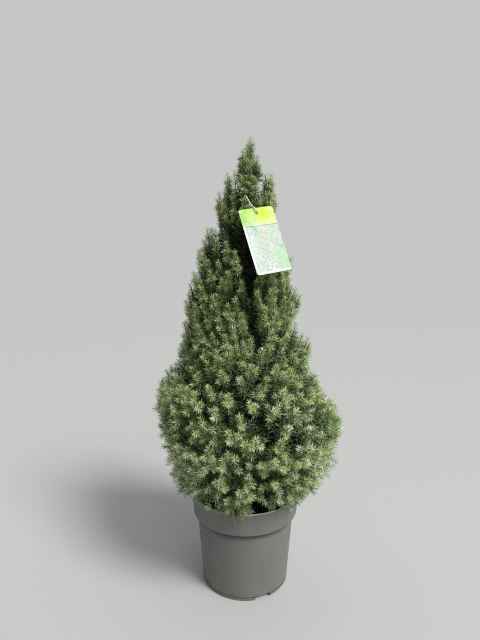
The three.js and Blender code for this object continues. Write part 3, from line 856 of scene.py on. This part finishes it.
def makeCard():
    c = cardSizes
    body = bmesh.new()
    centre, r = c["length"] / 2 - c["holeInset"], c["holeRadius"]
    hole = [(r * math.cos(a), centre + r * math.sin(a)) for a in circle(24)]
    edges = []
    for ring in (cardOutline(), hole):
        corners = [body.verts.new((x, y, 0)) for x, y in ring]
        edges += [body.edges.new(pair) for pair in zip(corners, corners[1:] + corners[:1])]
    bmesh.ops.triangle_fill(body, use_beauty=True, use_dissolve=False, edges=edges)
    cuts = ((Vector((1, 0, 0)), c["width"], c["columns"]), (Vector((0, 1, 0)), c["length"], c["rows"]))
    for axis, size, count in cuts:
        for n in range(1, count):
            everything = body.verts[:] + body.edges[:] + body.faces[:]
            place = axis * size * (n / count - 0.5)
            bmesh.ops.bisect_plane(body, geom=everything, plane_co=place, plane_no=axis)
    bmesh.ops.recalc_face_normals(body, faces=body.faces)
    for face in body.faces:
        if face.normal.z < 0:
            face.normal_flip()
    layer = body.loops.layers.uv.new("sheet")
    for face in body.faces:
        for loop in face.loops:
            loop[layer].uv = (loop.vert.co.x / c["width"] + 0.5, loop.vert.co.y / c["length"] + 0.5)
    flat = bpy.data.meshes.new("cardFlat")
    body.to_mesh(flat)
    body.free()
    card = addObject("plantCard", flat)
    for v in flat.vertices:
        v.co = cardTurn @ cardPoint(v.co.x, v.co.y) * mm
    thicken = card.modifiers.new("thicken", "SOLIDIFY")
    thicken.thickness = 0.5 * mm
    thicken.offset = -1
    thicken.material_offset = 1
    thicken.material_offset_rim = 1
    flat.materials.append(cardPrint())
    flat.materials.append(cardBack())
    applyModifiers(card)
    finishPiece(card, None, ["plant_card"])


def cardPrint():  # a yellow-green head, a thin rule, and a mottled pale green field with a white border
    c = cardSizes
    material, tree, shader = newMaterial("cardPrint", c["paper"], 0.45, 0.4)
    sheet = addNode(tree, "ShaderNodeUVMap", uv_map="sheet").outputs[0]
    parts = addNode(tree, "ShaderNodeSeparateXYZ", {0: sheet}).outputs
    across, up = parts["X"], parts["Y"]

    def band(value, low, high):
        return ranged(tree, value, low, high)

    def cloud(scale, low, high, detail=3.0):
        inputs = {"Vector": sheet, "Scale": scale, "Detail": detail, "Roughness": 0.65}
        return band(addNode(tree, "ShaderNodeTexNoise", inputs).outputs["Fac"], low, high)

    def layered(colour, layers):  # each layer is a mask, its share and a tint
        for mask, share, tint in layers:
            colour = mixColours(tree, mask if share == 1 else times(tree, mask, share), colour, c[tint])
        return colour

    head = 1 - c["headShare"]
    headTint = layered(mixColours(tree, band(across, 0.1, 0.62), c["headGreen"], c["headYellow"]), [
        (band(up, head + 0.12, head), 0.45, "paper"),
        (times(tree, cloud(4, 0.45, 0.7), band(across, 0.2, 0.4)), 0.5, "cream"),
    ])
    field = mixColours(tree, band(maths(tree, "ADD", across, up), 0.95, 0.55), c["cream"], c["paper"])
    field = layered(field, [
        (cloud(4.5, 0.42, 0.60), 1, "mint"),
        (cloud(30, 0.50, 0.60, 4.0), 0.75, "blush"),
        (cloud(41, 0.52, 0.62, 4.0), 0.7, "moss"),
        (cloud(23, 0.54, 0.66, 4.0), 0.6, "paper"),
        (times(tree, band(across, 0.55, 0.95), band(up, 0.42, 0.12)), 0.75, "spring"),
        (maths(tree, "MAXIMUM", band(across, 0.075, 0.045), band(up, 0.05, 0.03)), 1, "paper"),
    ])
    colour = mixColours(tree, band(up, head - 0.004, head + 0.004), field, headTint)
    rule = times(tree, band(up, head - 0.012, head - 0.007), band(up, head + 0.004, head - 0.001))
    colour = layered(colour, [(times(tree, rule, band(across, 0.06, 0.08)), 0.7, "rule")])
    tree.links.new(colour, shader.inputs["Base Color"])
    roughnessFrom(tree, shader, addGrain(tree, 60, 5)["Mask"], 0.42, 0.58)
    return material


def cardBack():
    base, low, high = cardSizes["back"]
    return grainyMaterial("cardBack", base, low, high, (0.35, 0.5), (70, 6), rough=(0.3, 0.45))


makeTie()
makeCard()
print("card and tie done")


# spires of needled shoots that grow on from the stems
spireRule = {  # threes are the values at the crown's foot, waist and top
    "heights": (250, 480, 740),
    "count": 510,
    "headroom": 22,  # between the highest of them and the crown's top
    "crowding": [(176, 1.0), (300, 1.0), (360, 1.3), (430, 1.5), (520, 1.35), (764, 1.3)],
    "reach": (66, 95, 90),  # from the stem to the tip
    "uplift": [(170, 0), (260, 3), (340, 13), (450, 26), (600, 20), (764, 2)],  # degrees over "rise"
    "inset": 1,
    "sideInset": (4, 6, 4),
    "scatter": 9,
    "valley": 15,
    "lead": (25, 26, 18),
    "whorls": (3, 5, 6),
    "perWhorl": 4,
    "lift": 0.16,
    "whorlGap": (17, 13, 9.5),
    "firstSide": (24, 10, 8),
    "lastSide": (29, 19, 14),
    "firstLean": (54, 28, 36),  # degrees off the twig
    "lastLean": (62, 39, 48),
    "needles": (1.0, 0.92, 0.8),
    "twigRadius": (1.5, 1.1, 0.9),
    # young bark's brown, made darker as painted shade between the shoots
    "twigBark": ((0.045, 0.030, 0.016), (0.11, 0.075, 0.042)),
    "shootRadius": 0.5,
    "shadeDepths": (19, 32, 46),  # how far under the outline the outer shoots, the olive ones and the shaded ones reach; further in, darker tints stand for painted shade
    "ownReach": 22,  # how far a stem's own spire stands out past its end
    "leader": {"reach": 13, "above": 750, "lead": 15, "whorls": 11, "gap": 5, "needles": 1.0},  # plumper
    "within": [(0.3, 0.5, "deep", 1.3), (0.5, 1.0, "shade", 1.0)],  # its own needles: from, to, tint, size; their dark tints are painted shade
}
fillRule = {  # older shoots along the stems and the trunk, in the crown's shade; their needles take the darkest tint as painted shade
    "gap": 6.5,
    "perWhorl": 4,
    "length": 58,
    "lean": 68,
    "size": 2.1,
    "trunkFrom": 205,
    "trunkGap": 6,
    "trunkLength": 60,
    "cover": 18,  # how deep under the outline their tips stay
    "lowest": 196,
}
needleRule = {
    "length": 10.5,
    "lowTilt": 72,  # degrees off the shoot, at its foot
    "tipTilt": 46,
    "wander": 20,
    "tipLength": 0.8,
    "sizes": (0.8, 1.12),
    "seed": 11,
    "trianglesPerPiece": 180000,
}
hollows = [  # (centre, radii) of spaces that the shoots leave open
    ((4, -70, 594), (15, 32, 44)),
    ((98, -5, 457), (22, 50, 20)),
    ((23, 0, 683), (6.5, 60, 15)),
    ((-20, 0, 686), (3.5, 60, 10)),
    ((-60, 0, 640), (11, 60, 10)),
    ((-79, 0, 610), (12, 60, 9)),
    ((-94, 0, 562), (14, 60, 9)),
    ((25, -96, 185), (20, 50, 19)),
    ((-62, -112, 164), (34, 40, 14)),
    ((114, 0, 366), (13, 60, 9)),
    ((12, -88, 484), (6, 20, 34)),
    ((-56, -77, 521), (6, 18, 9)),
    ((-69, -72, 482), (7, 18, 10)),
    ((-16, -122, 416), (5, 18, 14)),
    ((29, -150, 326), (7, 16, 11)),
    ((-23, -148, 275), (9, 15, 10)),
    ((38, -140, 256), (8, 16, 13)),
    ((158, 0, 246), (14, 60, 9)),
]
tints = {  # base colour, roughness, needle width and spacing, and the tint of every other needle on the shoot
    "silverTip": ((0.67, 0.74, 0.46), 0.48, 0.76, 0.36, "sage"),
    "limeTip": ((0.56, 0.66, 0.29), 0.48, 0.76, 0.36, "leaf"),
    "sage": ((0.41, 0.52, 0.25), 0.5, 0.8, 0.9, "leaf"),
    "leaf": ((0.27, 0.385, 0.16), 0.5, 0.8, 0.9, "olive"),
    "olive": ((0.155, 0.228, 0.080), 0.5, 0.85, 1.0, "shade"),
    # shade and the darkest tint below it are painted shade, for needles deep inside the crown
    "shade": ((0.056, 0.094, 0.036), 0.55, 1.1, 2.1, None),
    "deep": ((0.019, 0.033, 0.012), 0.6, 1.7, 3.3, None),
}


def byHeight(label, z):  # a value of the spires' rule at a height
    return along(list(zip(spireRule["heights"], spireRule[label])), z)


def inHollow(p):
    away = (sum(((a - b) / r) ** 2 for a, b, r in zip(p, *hollow)) for hollow in hollows)
    return any(distance < 1 for distance in away)


def ownerOf(p):  # the stem nearest a point, and how close the next one comes, from 0 to 1
    reach = sorted((nearestOn(s["points"], p)[0], k) for k, s in enumerate(stems))
    return reach[0][1], reach[0][0] / reach[1][0]


def spireRise(z):
    return math.radians(along(crownShape["rise"], z)) + math.radians(along(spireRule["uplift"], z))


def spireTips():  # (tip, stem, direction)
    c, rule = crownShape, spireRule
    count = rule["count"]
    steps = 600
    heights = [lerp(c["bottom"], c["top"] - rule["headroom"], i / steps) for i in range(steps + 1)]
    share = [(outlineRadius(z) + c["crowding"]) * along(rule["crowding"], z) for z in heights[1:]]
    area = np.concatenate([[0], np.cumsum(share)])
    tips = []
    for i in range(count):
        at = int(np.searchsorted(area, (i + 0.5) / count * area[-1]))
        z = heights[at] + 16 * jitter(i, 4)
        azimuth = i * goldenAngle + 0.4 * jitter(i, 5)
        owner, between = ownerOf(outlinePoint(azimuth, z))
        scale = shrinkUp(z)
        pull = rule["valley"] * between ** 3 + rule["scatter"] * (0.5 + jitter(i, 6)) + rule["inset"]
        tip = outlinePoint(azimuth, z, min(pull * scale, 0.45 * outlineRadius(z)))
        rise = spireRise(z) + 0.3 * jitter(i, 8)
        tips.append((tip, owner, polar(math.cos(rise), azimuth + 0.5 * jitter(i, 18), math.sin(rise))))
    for k, stem in enumerate(stems):  # each stem ends in a spire of its own
        end = stem["curve"][2]
        upward = Vector((0, 0, 0.5 * clamp((end.z - 200) / 200, 0, 1)))
        heading = (bendTangent(*stem["curve"], 1) + upward).normalized()
        room = depthIn(end) / max(0.35, math.hypot(heading.x, heading.y)) - 2 * rule["inset"]
        furthest = rule["leader"]["reach"] if stem["name"] == "leader" else rule["ownReach"]
        tips.append((end + heading * min(room, furthest), k, heading))
    for x, z in c["standing"]:
        rise = spireRise(z)
        tip = Vector((x - math.copysign(4, x), 0, z))
        tips.append((tip, ownerOf(tip)[0], Vector((math.copysign(math.cos(rise), x), 0, math.sin(rise)))))
    for azimuth, radius, height in c["hanging"]:
        tip = polar(radius, math.radians(azimuth), height)
        tips.append((tip, ownerOf(tip)[0], polar(0.8, math.radians(azimuth), -0.6)))
    return tips


tieGuide = np.array(tiePath)


def shootFits(a, b, margin):
    for t in (0.35, 0.7, 1.0):
        p = a.lerp(b, t)
        if clearOfCard(p) < margin or inHollow(p):
            return False
        out, room = math.hypot(p.x, p.y), 0.5 * margin
        if p.z < potSizes["height"] + room and 70 < out < potSizes["rimRadius"] + room:
            return False
        if p.z < compostSizes["top"] + 6 + margin and out < potSizes["rimRadius"]:
            return False
        if nearestOn(tieGuide, p)[0] < 3:
            return False
    return True


shoots = []  # (path, tint of the lower needles, tint of the tip's needles, needle size, on the outside)
twigs = []  # (path, radii)
tintShares = {  # by height: paler and greyer low down, olive and deeper towards the top; right at the crown's foot over the rim, fewer sage shoots and pale tips, as painted shade
    "sage": [(180, 0.10), (225, 0.54), (430, 0.52), (520, 0.30), (600, 0.26), (764, 0.18)],
    "leaf": [(180, 0.30), (330, 0.38), (430, 0.47), (600, 0.50), (764, 0.55)],
    "fresh": [(185, 0.3), (215, 1)],  # outer shoots with pale tips, fewer at the crown's foot as painted shade
    "silverTip": [(170, 0.6), (300, 0.45), (420, 0.10), (520, 0)],  # the silvery ones among those
}


def pickTint(z, i):
    sage, leaf = along(tintShares["sage"], z), along(tintShares["leaf"], z)
    draw = jitter(i, 22) + 0.5
    if draw < sage:
        return "sage"
    return "leaf" if draw < sage + leaf else "olive"


def addShoot(base, direction, length, i, size, fresh):
    sag = Vector((0, 0, length * 0.10 * (0.3 + jitter(i, 21))))
    tip = base + direction * length + sag
    if not shootFits(base, tip, 6.5 * min(size, 1.3)):
        return False
    middle = base.lerp(tip, 0.5) - sag * 0.5
    path = bendPath((base, middle, tip), 4)
    lower = pickTint(tip.z, i)
    under = depthIn(tip)
    depth = under / shrinkUp(tip.z) ** 0.4
    # shoots further under the outline, and the inside fill, take darker tints as painted shade
    shadedFill = size > 1.2
    if shadedFill:
        size = clamp(under / 13, 1.0, size)
    outside, dim, dark = spireRule["shadeDepths"]
    outer = depth < outside and not shadedFill
    if shadedFill or depth > dark:
        lower = "deep"
    elif depth > dim:
        lower, size = "shade", size * 1.25
    elif not outer:
        lower, size = "olive", size * 1.15
    upper = lower
    if fresh and outer and jitter(i, 24) + 0.5 < along(tintShares["fresh"], tip.z):
        silver = jitter(i, 23) + 0.5 < along(tintShares["silverTip"], tip.z)
        upper = "silverTip" if silver else "limeTip"
    shoots.append((path, lower, upper, size, outer))
    thick = spireRule["shootRadius"] * size
    twigs.append(([path[0], path[4]], [thick, 0.4 * thick]))
    return True


def spireCurve(tip, owner, heading):
    stem = stems[owner]
    reach = byHeight("reach", tip.z)
    at = nearestOn(stem["points"], tip - heading * reach)[1]
    root = bendPoint(*stem["curve"], clamp(at, stem["bare"] + 0.05, 0.97))
    bend = tip - heading * min(0.6 * reach, 0.7 * (tip - root).length)
    return root, bend, tip


def addWhorl(curve, t, share, i, z, size):
    rule = spireRule
    foot = bendPoint(*curve, t)
    tangent = bendTangent(*curve, t)
    u, v = across(tangent)
    count = rule["perWhorl"]
    for s in range(count):
        n = i + s
        spin = 2 * math.pi * (s + 0.5 * (i % 2)) / count + 1.2 * jitter(n, 11)
        lean = lerp(byHeight("firstLean", z), byHeight("lastLean", z), share)
        lean = math.radians(lean + 16 * jitter(n, 12))
        upward = Vector((0, 0, rule["lift"]))
        out = (around(tangent, around(u, v, spin), lean) + upward).normalized()
        length = lerp(byHeight("firstSide", z), byHeight("lastSide", z), share) * (1 + 0.45 * jitter(n, 13))
        over = byHeight("sideInset", z) - depthIn(foot + out * length)
        if over > 0:
            length = max(8, length - over)
        addShoot(foot, out, length, n, size, jitter(n, 14) > -0.25)


def fillInside():
    rule = fillRule
    limbs = []
    for stem in stems:
        gap = rule["gap"] * (1 if stem["bare"] else 0.7)
        limbs.append((stem["curve"], stem["bare"] + 0.1, 0.9, gap, rule["length"]))
    foot, top = trunkAxis(rule["trunkFrom"]), trunkAxis(trunkSizes["tip"] - 10)
    limbs.append(((foot, foot.lerp(top, 0.5), top), 0, 1, rule["trunkGap"], rule["trunkLength"]))
    for k, (curve, start, end, gap, length) in enumerate(limbs):
        steps = max(2, round((curve[2] - curve[0]).length * (end - start) / gap))
        for n in range(steps + 1):
            t = lerp(start, end, n / steps)
            foot = bendPoint(*curve, t)
            tangent = bendTangent(*curve, t)
            u, v = across(tangent)
            for s in range(rule["perWhorl"]):
                i = 20000 + k * 400 + n * 5 + s
                spin = n * goldenAngle + 2 * math.pi * s / rule["perWhorl"]
                lean = math.radians(rule["lean"] + 30 * jitter(i, 15))
                out = around(tangent, around(u, v, spin), lean)
                room = min(length, 0.85 * depthIn(foot)) * (1 + 0.5 * jitter(i, 16))
                for share in (1, 0.6, 0.35):  # a shorter one where the longer has no room
                    place = foot + out * room * share
                    inside = depthIn(place) > rule["cover"] and place.z > rule["lowest"]
                    if inside and addShoot(foot, out, room * share, i, rule["size"], False):
                        break


def buildSpires():
    for i, (tip, owner, heading) in enumerate(spireTips()):
        curve = spireCurve(tip, owner, heading)
        path = bendPath(curve, 8)
        whole = pathLength(path)
        top = spireRule["leader"]
        lead, size = byHeight("lead", tip.z), byHeight("needles", tip.z)
        whorls, gap = round(byHeight("whorls", tip.z)), byHeight("whorlGap", tip.z)
        if tip.z > top["above"]:
            lead, size, whorls, gap = top["lead"], top["needles"], top["whorls"], top["gap"]
        leadFoot = clamp(1 - lead / whole, 0.1, 0.95)
        base = bendPoint(*curve, leadFoot)
        if not shootFits(base, tip, 5):
            continue
        twigs.append((path, [lerp(1.0, 0.4, n / 8) * byHeight("twigRadius", tip.z) for n in range(9)]))
        ahead = tip - base
        addShoot(base, ahead.normalized(), ahead.length, i * 37, size, jitter(i, 30) > -0.4)
        for start, end, tint, larger in spireRule["within"]:
            inner = [bendPoint(*curve, lerp(0, leadFoot, lerp(start, end, n / 4))) for n in range(5)]
            if shootFits(inner[0], inner[-1], 6):
                shoots.append((inner, tint, tint, larger * size, False))
        for w in range(whorls):
            t = 1 - (lead * 0.8 + w * gap) / whole
            if t < 0.1:
                break
            addWhorl(curve, t, w / (whorls - 1), i * 37 + w * 5 + 1, tip.z, size)
    fillInside()
    length = sum((s[0][-1] - s[0][0]).length for s in shoots)
    print("shoots", len(shoots), "of", round(length / 1000), "m in all")


buildSpires()


def geometryTree(name, inputs):  # a tree that takes and gives one geometry, and sets a material
    labels = {"Geometry": ("Geometry", None), **inputs, "Finish": ("Material", None)}
    return newGroup(name, "GeometryNodeTree", labels, {"Geometry": "Geometry"})


def endTree(tree, geometry, given, result):
    real = addNode(tree, "GeometryNodeRealizeInstances", {0: geometry}).outputs[0]
    coated = addNode(tree, "GeometryNodeSetMaterial", {"Geometry": real, "Material": given["Finish"]})
    tree.links.new(coated.outputs[0], result["Geometry"])
    return tree


def named(tree, label):
    node = addNode(tree, "GeometryNodeInputNamedAttribute", {"Name": label}, data_type="FLOAT")
    return node.outputs["Attribute"]


def growOn(piece, tree, values):  # runs a tree on a piece and keeps the plain mesh that it gives
    modifier = piece.modifiers.new(tree.name, "NODES")
    modifier.node_group = tree
    for item in tree.interface.items_tree:
        if item.item_type == "SOCKET" and item.in_out == "INPUT" and item.name in values:
            modifier[item.identifier] = values[item.name]
    applyModifiers(piece)


def needleBlade():  # one needle, a millimetre long and wide, pointed at both ends
    points = [(0, 0, 0), (0.5, 0.3, 0.45), (-0.5, 0.3, 0.6), (0, 0, 1)]
    faces = [(0, 2, 1), (3, 1, 2), (0, 1, 3), (0, 3, 2)]
    blade = newPiece("needleBlade", points, faces, smooth=False)
    fixNormals(blade)
    return blade


def needleTree():
    rule = needleRule
    tree, given, result = geometryTree("needlesAlongShoots", {
        "Needle": ("Object", None),
        "Spacing": ("Float", mm),
        "Length": ("Float", rule["length"] * mm),
        "Width": ("Float", mm),
        "Low Tilt": ("Float", math.radians(rule["lowTilt"])),
        "Tip Tilt": ("Float", math.radians(rule["tipTilt"])),
        "Wander": ("Float", math.radians(rule["wander"])),
        "Tip Length": ("Float", rule["tipLength"]),
        "Smallest": ("Float", rule["sizes"][0]),
        "Largest": ("Float", rule["sizes"][1]),
        "Seed": ("Int", rule["seed"]),
    })

    def randomValue(low, high, offset):
        inputs = {"Min": low, "Max": high, "Seed": maths(tree, "ADD", given["Seed"], offset)}
        return addNode(tree, "FunctionNodeRandomValue", inputs, data_type="FLOAT").outputs["Value"]

    def turned(rotation, axis, angle):
        spin = addNode(tree, "FunctionNodeAxisAngleToRotation", {"Axis": axis, "Angle": angle})
        inputs = {"Rotation": rotation, "Rotate By": spin.outputs[0]}
        return addNode(tree, "FunctionNodeRotateRotation", inputs, rotation_space="LOCAL").outputs[0]

    curves = addNode(tree, "GeometryNodeMeshToCurve", {"Mesh": given["Geometry"]})
    inputs = {"Curve": curves.outputs[0], "Length": given["Spacing"]}
    points = addNode(tree, "GeometryNodeCurveToPoints", inputs, mode="LENGTH").outputs
    align = addNode(tree, "FunctionNodeAlignRotationToVector", {"Vector": points["Tangent"]}, axis="Z")
    index = tree.nodes.new("GeometryNodeInputIndex").outputs[0]
    spin = maths(tree, "ADD", times(tree, index, goldenAngle), randomValue(-0.5, 0.5, 1))
    reach = named(tree, "reach")
    tilt = ranged(tree, maths(tree, "POWER", reach, 1.8), 0, 1, given["Low Tilt"], given["Tip Tilt"])
    lean = maths(tree, "ADD", tilt, times(tree, given["Wander"], randomValue(-1, 1, 2)))
    size = times(tree, randomValue(given["Smallest"], given["Largest"], 3), named(tree, "size"))
    shorter = ranged(tree, reach, 0.45, 1, 1, given["Tip Length"])
    length = times(tree, times(tree, size, given["Length"]), shorter)
    scale = addNode(tree, "ShaderNodeCombineXYZ", {"X": given["Width"], "Y": given["Width"], "Z": length})
    blade = addNode(tree, "GeometryNodeObjectInfo", {"Object": given["Needle"]}).outputs["Geometry"]
    unit = addNode(tree, "GeometryNodeTransform", {"Geometry": blade, "Scale": (1 / mm, 1 / mm, 1 / mm)})
    place = addNode(tree, "GeometryNodeInstanceOnPoints", {
        "Points": points["Points"],
        "Instance": unit.outputs[0],
        "Rotation": turned(turned(align.outputs[0], (0, 0, 1), spin), (1, 0, 0), lean),
        "Scale": scale.outputs[0],
    })
    return endTree(tree, place.outputs[0], given, result)


def pathsMesh(name, paths, values):  # open paths as edges; values hold a number for each point
    mesh = bpy.data.meshes.new(name)
    points, edges = [], []
    for path in paths:
        first = len(points)
        points += [p * mm for p in path]
        edges += [(first + n, first + n + 1) for n in range(len(path) - 1)]
    mesh.from_pydata(points, edges, [])
    for label, numbers in values.items():
        mesh.attributes.new(label, "FLOAT", "POINT").data.foreach_set("value", np.array(numbers, np.float32))
    return addObject(name, mesh)


def dealtPaths():  # for each tint, the paths that carry it: (points, reach at each point, size)
    rows = {tint: [] for tint in tints}
    for path, lower, upper, size, outer in shoots:
        parts = [(lower, path, (0, 0.25, 0.5, 0.75, 1))]
        if upper != lower:  # the tip's needles are of another tint
            change = path[2].lerp(path[3], 0.4)
            parts = [
                (lower, path[:3] + [change], (0, 0.25, 0.5, 0.6)),
                (upper, [change] + path[3:], (0.6, 0.75, 1)),
            ]
        for tint, points, reach in parts:
            rows[tint].append((points, reach, size))
            if outer:
                rows[tints[tint][-1]].append((points, reach, size))
    return rows


def makeNeedles():
    rule = needleRule
    tree = needleTree()
    blade = needleBlade()
    foliage = ["foliage_" + stem["name"] for stem in stems]
    total = 0
    for tint, rows in dealtPaths().items():
        colour, roughness, width, spacing, _ = tints[tint]
        label = "needles" + tint[0].upper() + tint[1:]
        material = newMaterial(label, colour, roughness, 0.45)[0]
        needles = sum((b - a).length / spacing + 0.5 for row in rows for a, b in zip(row[0], row[0][1:]))
        pieces = math.ceil(needles * len(blade.data.polygons) / rule["trianglesPerPiece"])
        for number in range(pieces):
            batch = rows[number::pieces]
            piece = pathsMesh(label + str(number + 1), [row[0] for row in batch], {
                "reach": [r for row in batch for r in row[1]],
                "size": [row[2] for row in batch for _ in row[0]],
            })
            growOn(piece, tree, {
                "Needle": blade,
                "Finish": material,
                "Spacing": spacing * mm,
                "Width": width * mm,
                "Seed": rule["seed"] + len(label),
            })
            finishPiece(piece, material, foliage)
            total += len(piece.data.polygons)
    bpy.data.objects.remove(blade)
    print("needle faces", total)


def twigTree():
    tree, given, result = geometryTree("twigTubes", {"Sides": ("Int", 4)})
    width = named(tree, "thickness")
    curves = addNode(tree, "GeometryNodeMeshToCurve", {"Mesh": given["Geometry"]})
    thick = addNode(tree, "GeometryNodeSetCurveRadius", {"Curve": curves.outputs[0], "Radius": width})
    section = addNode(tree, "GeometryNodeCurvePrimitiveCircle", {"Resolution": given["Sides"], "Radius": 1})
    inputs = {"Curve": thick.outputs[0], "Profile Curve": section.outputs[0], "Fill Caps": True}
    tube = addNode(tree, "GeometryNodeCurveToMesh", inputs)
    if "Scale" in tube.inputs:  # the radius alone no longer sets the width there
        tree.links.new(width, tube.inputs["Scale"])
    return endTree(tree, tube.outputs[0], given, result)


def makeTwigs():
    dark, pale = spireRule["twigBark"]
    material = grainyMaterial("youngBark", dark, dark, pale, (0.75, 0.35), (300, 5))
    thickness = [r * mm for _, radii in twigs for r in radii]
    piece = pathsMesh("youngTwigs", [path for path, _ in twigs], {"thickness": thickness})
    growOn(piece, twigTree(), {"Sides": 3, "Finish": material})
    finishPiece(piece, material)
    print("twig faces", len(piece.data.polygons))


makeNeedles()
makeTwigs()


stageSettings = {
    "floorSize": 30,  # metres
    "floorDrop": 0.3,  # millimetres
    "floor": (0.54, 0.54, 0.535),
    "sky": (0.985, 0.99, 0.985),
    "skyStrength": 0.57,
    "skyDark": 0.03,  # how much of the sky's light comes from the front left
    "skyHeading": (0.6, 0.75, 0.25),
    "sun": (1.0, -0.9, 1.9),  # where the soft light comes from
    "sunAngle": 20,
    "sunPower": 2.5,
    "front": (0.9, -1.6, 1.4),
    "frontSize": 1.4,
    "frontPower": 9,
    "aim": (0, 0, 0.35),
}


def makeSky():
    rule = stageSettings
    world = bpy.data.worlds.new("softSky")
    world.use_nodes = True
    tree = world.node_tree
    background = tree.nodes["Background"].inputs
    feed(tree, rule["sky"], background["Color"])
    heading = tree.nodes.new("ShaderNodeTexCoord").outputs["Generated"]
    inputs = {0: heading, 1: rule["skyHeading"]}
    facing = addNode(tree, "ShaderNodeVectorMath", inputs, operation="DOT_PRODUCT")
    spread = addNode(tree, "ShaderNodeMapRange", {
        "Value": facing.outputs["Value"],
        "From Min": -0.9,
        "From Max": 0.3,
        "To Min": rule["skyStrength"] * rule["skyDark"],
        "To Max": rule["skyStrength"],
    }, interpolation_type="SMOOTHSTEP")
    seen = tree.nodes.new("ShaderNodeLightPath").outputs["Is Camera Ray"]  # the backdrop itself stays even
    inputs = {"Factor": seen, "A": spread.outputs["Result"], "B": rule["skyStrength"]}
    even = addNode(tree, "ShaderNodeMix", inputs, data_type="FLOAT").outputs["Result"]
    feed(tree, even, background["Strength"])
    bpy.context.scene.world = world


def addLight(name, kind, place, power):
    light = addObject(name, bpy.data.lights.new(name, kind))
    light.data.energy = power
    light.location = place
    light.rotation_euler = (Vector(stageSettings["aim"]) - Vector(place)).to_track_quat("-Z", "Y").to_euler()
    return light


def makeStage():
    rule = stageSettings
    size = rule["floorSize"] / mm
    corners = [(x * size, y * size, -rule["floorDrop"]) for x, y in ((-1, -1), (1, -1), (1, 1), (-1, 1))]
    floor = newPiece("paleFloor", corners, [(0, 1, 2, 3)])
    floor.data.materials.append(newMaterial("paleFloor", rule["floor"], 0.8, 0.2)[0])
    makeSky()
    sun = addLight("softKey", "SUN", rule["sun"], rule["sunPower"])
    sun.data.angle = math.radians(rule["sunAngle"])
    front = addLight("frontPanel", "AREA", rule["front"], rule["frontPower"])
    front.data.size = rule["frontSize"]
    scene = bpy.context.scene
    scene.view_settings.view_transform = "Standard"
    scene.cycles.filter_width = 1.0  # keeps the needles crisp
    scene.cycles.denoising_prefilter = "NONE"


makeStage()
print("scene ready")
